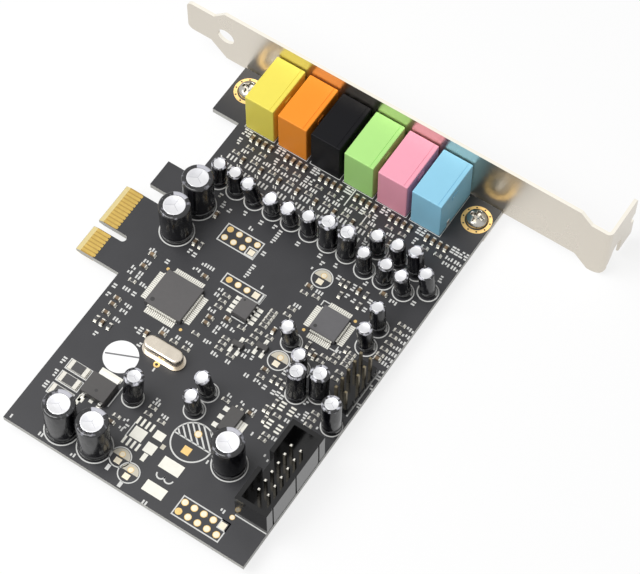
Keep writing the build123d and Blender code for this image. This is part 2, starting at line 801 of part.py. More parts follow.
controller_chip = build_chip(controller_x, controller_y, controller_side, controller_side, controller_height)
controller_chip.label = "controller_chip"
controller_leads = build_leads_on_four_sides(
    controller_x,
    controller_y,
    controller_side,
    controller_lead_pitch,
    controller_lead_width,
    controller_leads_per_side,
)
controller_leads.label = "controller_leads"

codec_chip = build_chip(codec_x, codec_y, codec_side, codec_side, codec_height)
codec_chip.label = "codec_chip"
codec_leads = build_leads_on_four_sides(
    codec_x,
    codec_y,
    codec_side,
    codec_lead_pitch,
    codec_lead_width,
    codec_leads_per_side,
)
codec_leads.label = "codec_leads"

memory_chip = build_chip(memory_x, memory_y, memory_width, memory_length, memory_height)
memory_chip.label = "memory_chip"

small_regulator = build_chip(
    small_regulator_x,
    small_regulator_y,
    small_regulator_width,
    small_regulator_length,
    small_regulator_height,
)
small_regulator.label = "small_regulator"

# Two three-legged transistors
with BuildPart() as transistors:
    with BuildSketch(Plane.XY.offset(board_top + chip_standoff)):
        with Locations(*transistor_places):
            Rectangle(transistor_length, transistor_width)
    extrude(amount=transistor_height)
    chamfer(transistors.faces().group_by(Axis.Z)[-1].edges(), chip_standoff)
transistors.part.label = "transistors"

# Leads of the small chips, each a separate strip
memory_lead = build_lead(memory_lead_width)
small_regulator_lead = build_lead(small_regulator_lead_width)
small_regulator_tab = build_lead(small_regulator_tab_width)
transistor_lead = build_lead(transistor_lead_width)
memory_lead_ys = lead_rows(memory_lead_pitch, memory_leads_per_side)
small_regulator_lead_ys = lead_rows(small_regulator_lead_pitch, small_regulator_lead_count)
transistor_lead_xs = lead_rows(transistor_lead_pitch, 2)
with BuildPart() as small_chip_leads:
    with Locations((memory_x, memory_y, board_top)):
        with PolarLocations(0, 2):
            with Locations(*[(memory_width / 2, along) for along in memory_lead_ys]):
                add(memory_lead)
    with Locations((small_regulator_x, small_regulator_y, board_top)):
        with Locations((small_regulator_width / 2, 0)):
            add(small_regulator_tab)
        with PolarLocations(0, 1, start_angle=180):
            with Locations(*[(small_regulator_width / 2, along) for along in small_regulator_lead_ys]):
                add(small_regulator_lead)
    for x, y in transistor_places:
        with Locations((x, y, board_top)):
            with PolarLocations(0, 1, start_angle=90):
                with Locations((transistor_width / 2, 0)):
                    add(transistor_lead)
            with PolarLocations(0, 1, start_angle=270):
                with Locations(*[(transistor_width / 2, along) for along in transistor_lead_xs]):
                    add(transistor_lead)
small_chip_leads.part.label = "small_chip_leads"

# Main regulator body, hollowed under for its metal plate
plate_length = regulator_plate_proud + regulator_plate_inside
plate_y = regulator_y + regulator_length / 2 + regulator_plate_proud - plate_length / 2
with BuildPart() as regulator_body:
    with BuildSketch(Plane.XY.offset(board_top)):
        with Locations((regulator_x, regulator_y)):
            Rectangle(regulator_width, regulator_length)
    extrude(amount=regulator_height)
    chamfer(regulator_body.faces().sort_by(Axis.Z)[-1].edges(), chip_standoff)
    with BuildSketch(Plane.XY.offset(board_top)):
        with Locations((regulator_x, plate_y)):
            Rectangle(regulator_plate_width, plate_length)
    extrude(amount=regulator_plate_thickness, mode=Mode.SUBTRACT)
regulator_body.part.label = "regulator_body"

# Metal plate of the main regulator and its two leads
regulator_lead = build_lead(regulator_lead_width)
with BuildPart() as regulator_plate:
    with BuildSketch(Plane.XY.offset(board_top)):
        with Locations((regulator_x, plate_y)):
            Rectangle(regulator_plate_width, plate_length)
    extrude(amount=regulator_plate_thickness)
    with Locations((regulator_x, regulator_y, board_top)):
        with PolarLocations(0, 1, start_angle=270):
            with Locations(*[(regulator_length / 2, along) for along in lead_rows(regulator_lead_pitch, 2)]):
                add(regulator_lead)
regulator_plate.part.label = "regulator_plate"

# Crystal: an oval can on a flange, with two leads through the board
with BuildPart() as crystal:
    with BuildSketch(Plane.XY.offset(board_top)):
        with Locations((crystal_x, crystal_y)):
            SlotOverall(crystal_flange_length, crystal_flange_width)
    extrude(amount=crystal_flange_height)
    with BuildSketch(Plane.XY.offset(board_top + crystal_flange_height)):
        with Locations((crystal_x, crystal_y)):
            SlotOverall(crystal_can_length, crystal_can_width)
    extrude(amount=crystal_height - crystal_flange_height)
    fillet(crystal.faces().sort_by(Axis.Z)[-1].edges(), crystal_top_edge)
    with BuildSketch(Plane.XY.offset(lead_tip)):
        with Locations(*crystal_lead_places):
            Circle(crystal_lead_diameter / 2)
    extrude(amount=board_top - lead_tip)
crystal.part.label = "crystal"

# Round paper label stuck to the board
with BuildPart() as round_label:
    with BuildSketch(Plane.XY.offset(board_top)):
        with Locations((label_x, label_y)):
            Circle(label_radius)
    extrude(amount=label_thickness)
round_label.part.label = "round_label"

# Chip parts: those that repeat along the jacks, then those that stand by themselves
filter_xs = [filter_x + number * can_row_pitch for number in range(filter_count)]
group_xs = [filter_x + number * group_pitch for number in range(group_count)]
power_chip_places = [
    (power_chip_x, first_power_chip_y - number * power_chip_pitch) for number in range(power_chip_count)
]
with BuildPart() as chip_resistors:
    with BuildSketch(Plane.XY.offset(board_top)):
        with Locations(*[(x, series_resistor_y) for x in filter_xs]):
            Rectangle(chip_length, chip_width)
        with Locations(*[(x + shift, input_resistor_y) for x in group_xs for shift in input_resistor_shifts]):
            Rectangle(chip_length, chip_width)
        with Locations(*places_around(resistors_across)):
            Rectangle(chip_length, chip_width)
        with Locations(*places_around(resistors_along)):
            Rectangle(chip_width, chip_length)
    extrude(amount=resistor_height)
    with BuildSketch(Plane.XY.offset(board_top)):
        with Locations(*power_chip_places):
            Rectangle(power_chip_length, power_chip_width)
    extrude(amount=power_chip_height)
chip_resistors.part.label = "chip_resistors"

coupling_capacitor_places = [
    (x + shift, coupling_capacitor_y) for x in group_xs for shift in coupling_capacitor_shifts
]
with BuildPart() as chip_capacitors:
    with BuildSketch(Plane.XY.offset(board_top)):
        with Locations(*coupling_capacitor_places):
            Rectangle(chip_width, chip_length)
        with Locations(*[(x + shunt_capacitor_shift, shunt_capacitor_y) for x in filter_xs]):
            Rectangle(chip_width, chip_length)
        with Locations(*places_around(capacitors_across)):
            Rectangle(chip_length, chip_width)
        with Locations(*places_around(capacitors_along)):
            Rectangle(chip_width, chip_length)
    extrude(amount=capacitor_height)
chip_capacitors.part.label = "chip_capacitors"

# One file for each named piece
os.makedirs("parts", exist_ok=True)
pieces = [
    circuit_board.part,
    edge_contacts.part,
    mounting_bracket.part,
    bracket_screws.part,
    *jack_housings,
    jack_contacts.part,
    box_header_shroud.part,
    box_header_pins,
    pin_header_base.part,
    pin_header_pins,
    controller_chip,
    controller_leads,
    codec_chip,
    codec_leads,
    memory_chip,
    small_regulator,
    transistors.part,
    small_chip_leads.part,
    regulator_body.part,
    regulator_plate.part,
    crystal.part,
    round_label.part,
    chip_resistors.part,
    chip_capacitors.part,
    *capacitors,
]
for piece in pieces:
    export_step(piece, f"parts/{piece.label}.step")
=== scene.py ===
import math
import random

import bmesh
import bpy
from mathutils import Matrix, Vector


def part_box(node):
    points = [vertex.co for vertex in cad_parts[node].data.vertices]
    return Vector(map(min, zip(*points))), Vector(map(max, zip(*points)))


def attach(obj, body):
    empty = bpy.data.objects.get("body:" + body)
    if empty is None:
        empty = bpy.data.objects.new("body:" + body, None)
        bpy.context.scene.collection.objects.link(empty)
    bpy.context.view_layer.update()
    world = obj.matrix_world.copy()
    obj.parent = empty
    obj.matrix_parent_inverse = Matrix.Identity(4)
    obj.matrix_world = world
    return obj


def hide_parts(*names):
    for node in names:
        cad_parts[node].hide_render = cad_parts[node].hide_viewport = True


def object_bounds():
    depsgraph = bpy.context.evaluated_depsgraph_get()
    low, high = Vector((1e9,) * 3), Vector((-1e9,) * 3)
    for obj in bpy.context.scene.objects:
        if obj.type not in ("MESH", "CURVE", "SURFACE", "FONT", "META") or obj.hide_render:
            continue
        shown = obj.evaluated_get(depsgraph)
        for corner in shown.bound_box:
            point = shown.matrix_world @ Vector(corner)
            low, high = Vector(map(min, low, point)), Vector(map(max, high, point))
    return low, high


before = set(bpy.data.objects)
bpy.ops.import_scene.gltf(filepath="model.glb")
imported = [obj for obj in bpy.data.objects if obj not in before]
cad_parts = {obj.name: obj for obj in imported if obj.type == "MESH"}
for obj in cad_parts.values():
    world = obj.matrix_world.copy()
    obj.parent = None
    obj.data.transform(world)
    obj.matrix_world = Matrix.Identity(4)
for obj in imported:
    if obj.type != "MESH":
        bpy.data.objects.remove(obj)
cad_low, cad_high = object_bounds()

# Lengths are in millimetres and turns in degrees, in the frame of the card
MM = 0.001
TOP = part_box("circuit_board")[1].z / MM
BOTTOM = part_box("circuit_board")[0].z / MM
seeded = random.Random(11)

# Values shared by all materials
coat_roughness = 0.12
colour_detail = 4.0
relief_detail = 3.0
gloss_spread = 0.2
flat_limit = 0.3
layer_scale = 900.0
layer_distortion = 2.0

# Materials by name
looks = {}


def linear(red, green, blue):
    """Linear colour of display values from 0 to 255."""
    shares = [value / 255 for value in (red, green, blue)]
    return [s / 12.92 if s <= 0.04045 else ((s + 0.055) / 1.055) ** 2.4 for s in shares] + [1.0]


def shade(colour, share):
    """A colour made lighter or darker by a share."""
    return [min(1.0, value * share) for value in colour[:3]] + [1.0]


def fill(node, values):
    """Gives sockets of a node their values, or links them to the outputs of other nodes."""
    for socket, value in values.items():
        if isinstance(value, bpy.types.NodeSocket):
            node.id_data.links.new(value, node.inputs[socket])
        else:
            node.inputs[socket].default_value = value


def add_node(tree, kind, output, values, **settings):
    """Output of a new node with some settings and filled sockets."""
    node = tree.nodes.new(f"ShaderNode{kind}")
    for setting, value in settings.items():
        setattr(node, setting, value)
    fill(node, values)
    return node.outputs[output]


def mix_colours(tree, share, first, second):
    """Output of a new node that mixes two colours."""
    factor, colour_a, colour_b, result = 0, 6, 7, 2
    values = {factor: share, colour_a: first, colour_b: second}
    return add_node(tree, "Mix", result, values, data_type="RGBA")


def surface(
    name, colour, rough, metal=0.0, mottle=0.08, grain=900.0, bump=0.2, bump_grain=2500.0,
    stretch=(1, 1, 1), specular=0.5, coat=0.0, contrast=1.0, centre=0.5, depth=0.02,
):
    """Material with mottled colour, uneven gloss and a fine grain."""
    base = linear(*colour)
    material = bpy.data.materials.new(name)
    material.use_nodes = True
    tree = material.node_tree
    place = add_node(tree, "TexCoord", "Object", {})
    place = add_node(tree, "Mapping", "Vector", {"Scale": stretch, "Vector": place})
    cloud = {"Scale": grain, "Detail": colour_detail, "Vector": place}
    noise = add_node(tree, "TexNoise", "Fac", cloud)
    span = {"From Min": centre - 0.5 / contrast, "From Max": centre + 0.5 / contrast, "Value": noise}
    spread = add_node(tree, "MapRange", "Result", span)
    dullest = min(1.0, rough * (1 + gloss_spread))
    span = {"To Min": rough * (1 - gloss_spread), "To Max": dullest, "Value": noise}
    values = {
        "Metallic": metal,
        "Specular IOR Level": specular,
        "Coat Weight": coat,
        "Coat Roughness": coat_roughness,
        "Base Color": mix_colours(tree, spread, shade(base, 1 - mottle), shade(base, 1 + mottle)),
        "Roughness": add_node(tree, "MapRange", "Result", span),
    }
    if bump:
        cloud = {"Scale": bump_grain, "Detail": relief_detail, "Vector": place}
        fine = add_node(tree, "TexNoise", "Fac", cloud)
        relief = {"Strength": bump, "Distance": depth * MM, "Height": fine}
        values["Normal"] = add_node(tree, "Bump", "Normal", relief)
    fill(tree.nodes["Principled BSDF"], values)
    looks[name] = material


def add_sides(name, colour, layering):
    """Gives another, faintly layered colour to faces that stand upright: the board's own edge colour, and on
    the bracket and pins painted shade that leaves their flat faces lighter.
    """
    base = linear(*colour)
    tree = looks[name].node_tree
    shader = tree.nodes["Principled BSDF"]
    top = shader.inputs["Base Color"].links[0].from_socket
    normal = add_node(tree, "NewGeometry", "Normal", {})
    normal_z = add_node(tree, "SeparateXYZ", "Z", {"Vector": normal})
    level = add_node(tree, "Math", "Value", {0: normal_z}, operation="ABSOLUTE")
    flat = add_node(tree, "Math", "Value", {0: level, 1: flat_limit}, operation="GREATER_THAN")
    place = add_node(tree, "TexCoord", "Object", {})
    wave = {"Scale": layer_scale, "Distortion": layer_distortion, "Vector": place}
    layers = add_node(tree, "TexWave", "Fac", wave, bands_direction="Z")
    layered_side_colour = mix_colours(tree, layers, shade(base, 1 - layering), shade(base, 1 + layering / 2))
    fill(shader, {"Base Color": mix_colours(tree, flat, layered_side_colour, top)})


# Materials of the board, its metal and its print
surface("board_mask", (41, 41, 44), 0.42, mottle=0.16, grain=160, bump=0.25, bump_grain=1400)
add_sides("board_mask", (205, 204, 198), 0.2)
surface("trace_mask", (64, 64, 68), 0.4, mottle=0.12, grain=300)
surface("gold", (204, 173, 96), 0.3, metal=1.0, mottle=0.1, bump=0.15)
surface("laminate", (176, 142, 66), 0.45, mottle=0.1, grain=1500)
surface("bevel_laminate", (218, 200, 142), 0.5, grain=1500)
surface("nickel", (248, 243, 231), 0.29, metal=1.0, mottle=0.03, grain=45, bump=0.02, bump_grain=300)
# Upright faces of the bracket darker than its flat faces, as painted shade
add_sides("nickel", (215, 208, 196), 0.03)
surface("screw_steel", (178, 175, 168), 0.24, metal=1.0, grain=1200)
surface("tin", (226, 224, 218), 0.32, metal=1.0, grain=1500)
surface("lead_tin", (224, 222, 216), 0.4, metal=0.35, grain=1500)
surface("dull_gold", (130, 120, 98), 0.36, metal=1.0, mottle=0.12, grain=1500)
surface("solder", (206, 204, 196), 0.34, metal=1.0, mottle=0.12, bump=0.3)
surface("pad_tin", (228, 226, 216), 0.5, metal=0.3)
surface("pad_cream", (238, 228, 205), 0.45, metal=0.25, mottle=0.1)
surface("pin_metal", (236, 232, 222), 0.25, metal=1.0, mottle=0.06, grain=1500, bump=0.15)
# Pin sides darker than their tips, as painted shade; the bright tips are painted light
add_sides("pin_metal", (122, 114, 96), 0.1)
surface("pad_gold", (222, 188, 122), 0.38, metal=0.6, mottle=0.1)
# Dark discs standing in for holes, as painted shade
surface("hole_painted_shade", (30, 27, 24), 0.6, mottle=0.2)
surface("print_white", (216, 216, 213), 0.55, grain=2200)
surface("print_pale", (204, 198, 182), 0.55, grain=2200)
surface("label_paper", (249, 249, 249), 0.6, mottle=0.02, grain=1600, bump=0.3, bump_grain=3000)
surface("label_ink", (112, 112, 114), 0.6, grain=2200)

# Materials of the parts on the board
surface(
    "header_plastic", (10, 10, 11), 0.14, mottle=0.15, grain=600, bump=0.1, bump_grain=1800,
    specular=0.42,
)
moulded = dict(grain=1100, bump=0.5, bump_grain=5000)
surface("chip_plastic", (84, 82, 82), 0.5, mottle=0.1, **moulded)
surface("codec_plastic", (94, 93, 95), 0.5, mottle=0.1, **moulded)
surface("regulator_plastic", (70, 68, 67), 0.5, mottle=0.12, **moulded)
surface("dimple_plastic", (48, 47, 47), 0.35, mottle=0.1, bump=0.1)
surface(
    "sleeve_black", (14, 14, 19), 0.2, mottle=0.2, grain=500, bump=0.7, bump_grain=520,
    stretch=(1, 1, 0.4), coat=0.2, depth=0.35,
)
# Rolled top of the sleeve: black film with pale patches that are painted reflections
surface(
    "rim_film_painted_glints", (150, 150, 156), 0.22, mottle=0.95, bump=0.3, bump_grain=700, coat=0.1,
    contrast=7.0, centre=0.545,
)
surface(
    "dark_rim_film_painted_glints", (110, 110, 116), 0.2, mottle=0.92, grain=600, bump=0.3, bump_grain=700, coat=0.2,
    contrast=7.0, centre=0.64,
)
surface("stripe_grey", (192, 192, 200), 0.3, grain=700, bump=0.1, coat=0.25)
surface("can_aluminium", (221, 221, 223), 0.34, metal=1.0, mottle=0.03, grain=1600, bump_grain=4000)
scored = dict(metal=1.0, mottle=0.04, grain=1600, bump=0)
# Darker aluminium for a third of each large top, as painted shade
surface("painted_shade_aluminium", (204, 204, 207), 0.4, **scored)
# Score lines darker than the top, as painted shade in their grooves
surface("score_line_painted_shade", (178, 178, 182), 0.45, **scored)
surface("bung_rubber", (30, 30, 30), 0.7, mottle=0.2, bump=0.3)
surface("crystal_metal", (206, 197, 183), 0.26, metal=1.0, mottle=0.05, grain=500, bump=0.15, bump_grain=900)
surface("resistor_glaze", (66, 65, 66), 0.4, mottle=0.15, grain=1800)
surface("resistor_base", (214, 212, 205), 0.5, mottle=0.06, grain=1800)
surface("ceramic", (118, 98, 74), 0.45, mottle=0.6, grain=110, contrast=2.5)
surface("chip_tin", (204, 201, 192), 0.42, metal=0.6, mottle=0.1, grain=1500)
jack_colours = {
    "yellow": (243, 228, 96),
    "orange": (252, 152, 46),
    "black": (11, 11, 15),
    "green": (180, 234, 138),
    "pink": (250, 170, 190),
    "blue": (150, 210, 236),
}
for name, colour in jack_colours.items():
    surface(
        f"{name}_plastic", colour, 0.45, mottle=0.03, grain=260, bump=0.3, bump_grain=2600,
        specular=0.14 if name == "black" else 0.25,
    )

# Finish of the pieces that keep their solid shape
finishes = [
    ("board_mask", ["circuit_board"]),
    ("gold", ["edge_contacts"]),
    ("nickel", ["mounting_bracket"]),
    ("tin", ["jack_contacts", "controller_leads", "codec_leads", "regulator_plate"]),
    ("lead_tin", ["small_chip_leads"]),
    ("pin_metal", ["box_header_pins"]),
    ("dull_gold", ["pin_header_pins"]),
    ("header_plastic", ["box_header_shroud", "pin_header_base"]),
    ("chip_plastic", ["controller_chip", "memory_chip"]),
    ("codec_plastic", ["codec_chip"]),
    ("regulator_plastic", ["small_regulator", "transistors", "regulator_body"]),
    ("crystal_metal", ["crystal"]),
    ("label_paper", ["round_label"]),
    *((f"{name}_plastic", [f"{name}_jack"]) for name in jack_colours),
]
for material, names in finishes:
    for name in names:
        for material_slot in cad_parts[name].material_slots:
            material_slot.material = looks[material]


def box_in_mm(node):
    """Lowest and highest corners of a node."""
    low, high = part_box(node)
    return low / MM, high / MM


def box_of(points):
    """Lowest and highest corners of some points."""
    low = Vector([min(point[axis] for point in points) for axis in range(3)])
    high = Vector([max(point[axis] for point in points) for axis in range(3)])
    return low, high


def points_of(node):
    """Every different corner of a solid's mesh."""
    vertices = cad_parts[node].data.vertices
    corners = {tuple(round(value / MM, 3) for value in vertex.co) for vertex in vertices}
    return [Vector(corner) for corner in sorted(corners)]


def middle(points):
    """Mean of some points."""
    return sum(points, Vector((0, 0, 0))) / len(points)


def islands(node):
    """Corners of each separate solid in a node."""
    weld = 0.001
    mesh = bmesh.new()
    mesh.from_mesh(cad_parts[node].data)
    bmesh.ops.remove_doubles(mesh, verts=mesh.verts, dist=weld * MM)
    groups = []
    seen = set()
    for start in mesh.verts:
        if start in seen:
            continue
        seen.add(start)
        group = [start]
        for vertex in group:
            for edge in vertex.link_edges:
                other = edge.other_vert(vertex)
                if other not in seen:
                    seen.add(other)
                    group.append(other)
        groups.append([vertex.co / MM for vertex in group])
    mesh.free()
    return sorted(groups, key=lambda points: tuple(round(value, 2) for value in box_of(points)[0]))


def add_object(name, data):
    """New object in the scene."""
    added = bpy.data.objects.new(name, data)
    bpy.context.scene.collection.objects.link(added)
    return added


def new_piece(name, mesh, materials, smooth_angle=None):
    """Object made of a mesh, riding on the card."""
    bmesh.ops.recalc_face_normals(mesh, faces=mesh.faces)
    data = bpy.data.meshes.new(name)
    mesh.to_mesh(data)
    mesh.free()
    for material in materials:
        data.materials.append(looks[material])
    if smooth_angle:
        data.polygons.foreach_set("use_smooth", [True] * len(data.polygons))
        data.set_sharp_from_angle(angle=math.radians(smooth_angle))
    piece = add_object(name, data)
    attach(piece, "root")
    return piece


def soften_edges(piece, width):
    """Rounds the sharp edges of a piece."""
    bevel = piece.modifiers.new("soft_edges", "BEVEL")
    bevel.width = width * MM
    bevel.segments = 2
    bevel.limit_method = "ANGLE"


def rectangle(x, y, width, length, turn=0.0):
    """Corners of a rectangle about a point."""
    spin = Matrix.Rotation(math.radians(turn), 2)
    half_width = width / 2
    half_length = length / 2
    corners = [(-1, -1), (1, -1), (1, 1), (-1, 1)]
    return [Vector((x, y)) + spin @ Vector((half_width * a, half_length * b)) for a, b in corners]


def circle(x, y, radius, steps=24, start=0.0, end=360.0):
    """Points round a circle or along an arc of it."""
    count = steps if end - start >= 360 else steps + 1
    turns = [math.radians(start + (end - start) * number / steps) for number in range(count)]
    return [Vector((x + radius * math.cos(turn), y + radius * math.sin(turn))) for turn in turns]


def at(x, y, z=0.0):
    """Shift to a place on the card."""
    return Matrix.Translation(Vector((x, y, z)) * MM)


def add_block(mesh, lower, upper, material, bottom=True):
    """Block between two loops of points, which are in metres."""
    low_ring = [mesh.verts.new(point) for point in lower]
    high_ring = [mesh.verts.new(point) for point in upper]
    faces = [mesh.faces.new(high_ring)]
    if bottom:
        faces.append(mesh.faces.new(low_ring[::-1]))
    for number in range(len(low_ring)):
        after = (number + 1) % len(low_ring)
        side = (low_ring[number], low_ring[after], high_ring[after], high_ring[number])
        faces.append(mesh.faces.new(side))
    for face in faces:
        face.material_index = material


def add_prism(mesh, outline, low, high, material=0):
    """Upright block with a flat outline."""
    lower = [(point.x * MM, point.y * MM, low * MM) for point in outline]
    upper = [(point.x * MM, point.y * MM, high * MM) for point in outline]
    add_block(mesh, lower, upper, material)


def add_band(mesh, x, y, inner, outer, high, start=0.0, end=360.0, steps=40, material=0):
    """Flat ring on the board, or an arc of one."""
    inside = circle(x, y, inner, steps, start, end)
    outside = circle(x, y, outer, steps, start, end)
    if end - start < 360:
        add_prism(mesh, outside + inside[::-1], TOP, high, material)
        return
    rings = [
        [mesh.verts.new((point.x * MM, point.y * MM, height * MM)) for point in points]
        for points, height in ((inside, TOP), (inside, high), (outside, high), (outside, TOP))
    ]
    for number, ring in enumerate(rings):
        after = rings[(number + 1) % len(rings)]
        for step in range(steps):
            follow = (step + 1) % steps
            face = mesh.faces.new((ring[step], ring[follow], after[follow], after[step]))
            face.material_index = material


def add_revolved(mesh, profile, place, steps):
    """Turned shape. Each step of the profile has a radius, a height and a material."""
    rings = []
    for radius, height, _ in profile:
        if radius == 0:
            rings.append([mesh.verts.new(place @ Vector((0, 0, height * MM)))])
            continue
        rings.append([
            mesh.verts.new(place @ Vector((point.x * MM, point.y * MM, height * MM)))
            for point in circle(0, 0, radius, steps)
        ])
    for ring, after, (_, _, material) in zip(rings, rings[1:], profile):
        for step in range(steps):
            follow = (step + 1) % steps
            if len(after) == 1:
                face = mesh.faces.new((ring[step], ring[follow], after[0]))
            elif len(ring) == 1:
                face = mesh.faces.new((ring[0], after[follow], after[step]))
            else:
                face = mesh.faces.new((ring[step], ring[follow], after[follow], after[step]))
            face.material_index = material


# Electrolytic capacitors: diameter, height, lead pitch, lead diameter, shoulder and top radius of each size
can_sizes = {
    "small": (3.8, 7.5, 1.5, 0.45, 0.36, 1.42),
    "medium": (4.7, 10.4, 2.0, 0.5, 0.42, 1.62),
    "large": (7.65, 11.8, 3.5, 0.6, 0.5, 2.68),
}
vented_diameter = 4.0
large_diameter = 6.0
SLEEVE, STRIPE, ALUMINIUM, SHADED_THIRD, BUNG, TIN, RIM, LINE = range(8)
can_materials = [
    "sleeve_black", "stripe_grey", "can_aluminium", "painted_shade_aluminium", "bung_rubber", "tin", "rim_film_painted_glints",
    "score_line_painted_shade",
]
large_can_materials = [*can_materials[:RIM], "dark_rim_film_painted_glints", "score_line_painted_shade"]
upper_share = 0.6
lower_share = 0.4
seat_height = 0.05
bottom_share = 0.78
bottom_lift = 0.04
bottom_bevel = 0.16
bottom_bevel_height = 0.18
groove_height = 1.5
groove_depth = 0.25
groove_steps = 6
shoulder_steps = 5
lip_width = 0.04
bung_share = 0.74
bung_height = 0.1
top_steps = [(1.0, 0.05), (0.97, 0.02), (0.9, 0.06), (0.0, 0.06)]
shaded_start = 90
shaded_end = 210
film_overlap = 0.01
crease_counts = (7, 11, 17)
crease_start = 0.05
crease_drop = 0.03
crease_depth = 0.012
stripe_steps = 12
stripe_lift = 0.012
stripe_foot = 0.1
dash_share = 0.22
dash_spacing = 1.8
dash_half_width = 5.0
dash_steps = 3
dash_lift = 0.02
dash_foot = 2.4
dash_clear = 3.0
dash_margin = 3.6
vent_arms = 3
vent_share = 0.72
vent_width = 0.1
vent_foot = 0.061
vent_top = 0.045
lead_point_share = 0.7
lead_point = 0.1
lead_rise = 0.9
lead_steps = 12
slack = 0.01
can_bases = []
lead_places = []


def can_place(node, height):
    """Foot and axis of a can, from the rings of its solid."""
    points = points_of(node)
    upper = [point for point in points if point.z > TOP + height * upper_share]
    lower = [point for point in points if TOP + seat_height < point.z < TOP + height * lower_share]
    axis = (middle(upper) - middle(lower)).normalized()
    crown = max(point.dot(axis) for point in upper)
    start = middle(upper)
    base = start + axis * (crown - start.dot(axis) - height)
    return base, axis


def outer_profile(radius, height, shoulder, top_radius):
    """Sleeve from the bottom edge over the crimp to the rolled top."""
    profile = [
        (radius * bottom_share, bottom_lift),
        (radius - bottom_bevel, 0.0),
        (radius, bottom_bevel_height),
        (radius, groove_height - 2 * groove_depth),
    ]
    for number in range(1, groove_steps):
        turn = math.pi * number / groove_steps
        rise = -2 * groove_depth * math.cos(turn)
        profile.append((radius - groove_depth * math.sin(turn), groove_height + rise))
    profile.append((radius, groove_height + 2 * groove_depth))
    profile.append((radius, height - shoulder))
    for number in range(1, shoulder_steps + 1):
        turn = math.radians(90 * number / shoulder_steps)
        lean_in = shoulder * (1 - math.cos(turn))
        profile.append((radius - lean_in, height - shoulder + shoulder * math.sin(turn)))
    profile.append((top_radius, height))
    return profile


def add_patch(mesh, place, centre, half_width, steps, spans, material):
    """Curved sheet on the side of a can, along some steps of radius and height."""
    columns = []
    for number in range(steps + 1):
        turn = math.radians(centre - half_width + 2 * half_width * number / steps)
        points = [Vector((r * math.cos(turn), r * math.sin(turn), h)) for r, h in spans]
        columns.append([mesh.verts.new(place @ (point * MM)) for point in points])
    for column, after in zip(columns, columns[1:]):
        for step in range(len(spans) - 1):
            face = mesh.faces.new((column[step], after[step], after[step + 1], column[step + 1]))
            face.material_index = material


def build_can(node, diameter, height, lead_pitch, lead_diameter, shoulder, top_radius):
    """Can with a sleeve, a stripe, a scored top, a bung and leads."""
    radius = diameter / 2
    large = diameter > large_diameter
    base, axis = can_place(node, height)
    lean = Vector((0, 0, 1)).rotation_difference(axis).to_matrix().to_4x4()
    place = Matrix.Translation(base * MM) @ lean
    mesh = bmesh.new()
    steps = 56 if large else 40
    film_start = height - shoulder - film_overlap
    outline = outer_profile(radius, height, shoulder, top_radius)
    inner_top = top_radius - lip_width
    profile = [(0, bung_height, BUNG), (radius * bung_share, bung_height, BUNG)]
    # The rolled top edge takes the rim film, whose pale patches are painted reflections
    profile += [(r, h, RIM if h > film_start else SLEEVE) for r, h in outline]
    profile += [(inner_top * share, height - depth, ALUMINIUM) for share, depth in top_steps]
    add_revolved(mesh, profile, place, steps)
    # A third of each large top is darker aluminium as painted shade, standing in for light falling unevenly
    # on the sectors of the vent
    if large:
        mesh.faces.ensure_lookup_table()
        for step in range(steps):
            if shaded_start <= 360 * step / steps < shaded_end:
                mesh.faces[len(mesh.faces) - steps + step].material_index = SHADED_THIRD

    # Creases where the sleeve is shrunk over the top edge
    waves = [(count, seeded.uniform(0, math.tau)) for count in crease_counts]
    unplace = place.inverted()
    for vertex in mesh.verts:
        local = unplace @ vertex.co / MM
        reach = math.hypot(local.x, local.y)
        if local.z > film_start + crease_start and reach > top_radius - slack:
            turn = math.atan2(local.y, local.x)
            wave = sum(math.sin(count * turn + phase) for count, phase in waves)
            local.z -= crease_drop + crease_depth * wave
            vertex.co = place @ (local * MM)

    # Stripe down one side, with plain dashes
    stripe_turn = 97.0 if large else 90.0
    stripe_half_width = 31.0 if large else 21.0
    stripe_outline = outer_profile(radius + stripe_lift, height, shoulder, top_radius)
    spans = [point for point in stripe_outline if point[1] > stripe_foot]
    add_patch(mesh, place, stripe_turn, stripe_half_width, stripe_steps, spans, STRIPE)
    dash_height = dash_share * diameter
    dash_count = max(2, int((height - dash_clear) / (dash_height * dash_spacing)))
    for number in range(dash_count):
        low = dash_foot + number * (height - dash_margin) / dash_count
        dash = [(radius + dash_lift, low), (radius + dash_lift, low + dash_height)]
        add_patch(mesh, place, stripe_turn, dash_half_width, dash_steps, dash, SLEEVE)

    # Scored vent in the top, its lines a darker aluminium as painted shade in the grooves
    if diameter > vented_diameter:
        length = inner_top * vent_share
        corners = rectangle(length / 2, 0, length, vent_width)
        for arm in range(vent_arms):
            spin = place @ Matrix.Rotation(math.radians(90 + 360 / vent_arms * arm), 4, "Z")
            lower = [spin @ (Vector((*corner, height - vent_foot)) * MM) for corner in corners]
            upper = [spin @ (Vector((*corner, height - vent_top)) * MM) for corner in corners]
            add_block(mesh, lower, upper, LINE, bottom=False)

    # Leads down through the board
    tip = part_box(node)[0].z / MM
    lead_middle = middle([point for point in points_of(node) if point.z < tip + slack])
    lead_radius = lead_diameter / 2
    lead_profile = [
        (0, tip, TIN),
        (lead_radius * lead_point_share, tip, TIN),
        (lead_radius, tip + lead_point, TIN),
        (lead_radius, TOP + lead_rise, TIN),
        (0, TOP + lead_rise, TIN),
    ]
    for side in (-1, 1):
        lead_y = lead_middle.y + side * lead_pitch / 2
        add_revolved(mesh, lead_profile, at(lead_middle.x, lead_y), lead_steps)
        lead_places.append((lead_middle.x, lead_y, lead_radius))
    can_bases.append((lead_middle.x, lead_middle.y, diameter))
    materials = large_can_materials if large else can_materials
    piece = new_piece(f"{node}_can", mesh, materials, smooth_angle=40)
    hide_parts(node)


for node in sorted(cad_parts):
    size_name = node.split("_")[0]
    if size_name in can_sizes and "_capacitor_" in node:
        build_can(node, *can_sizes[size_name])

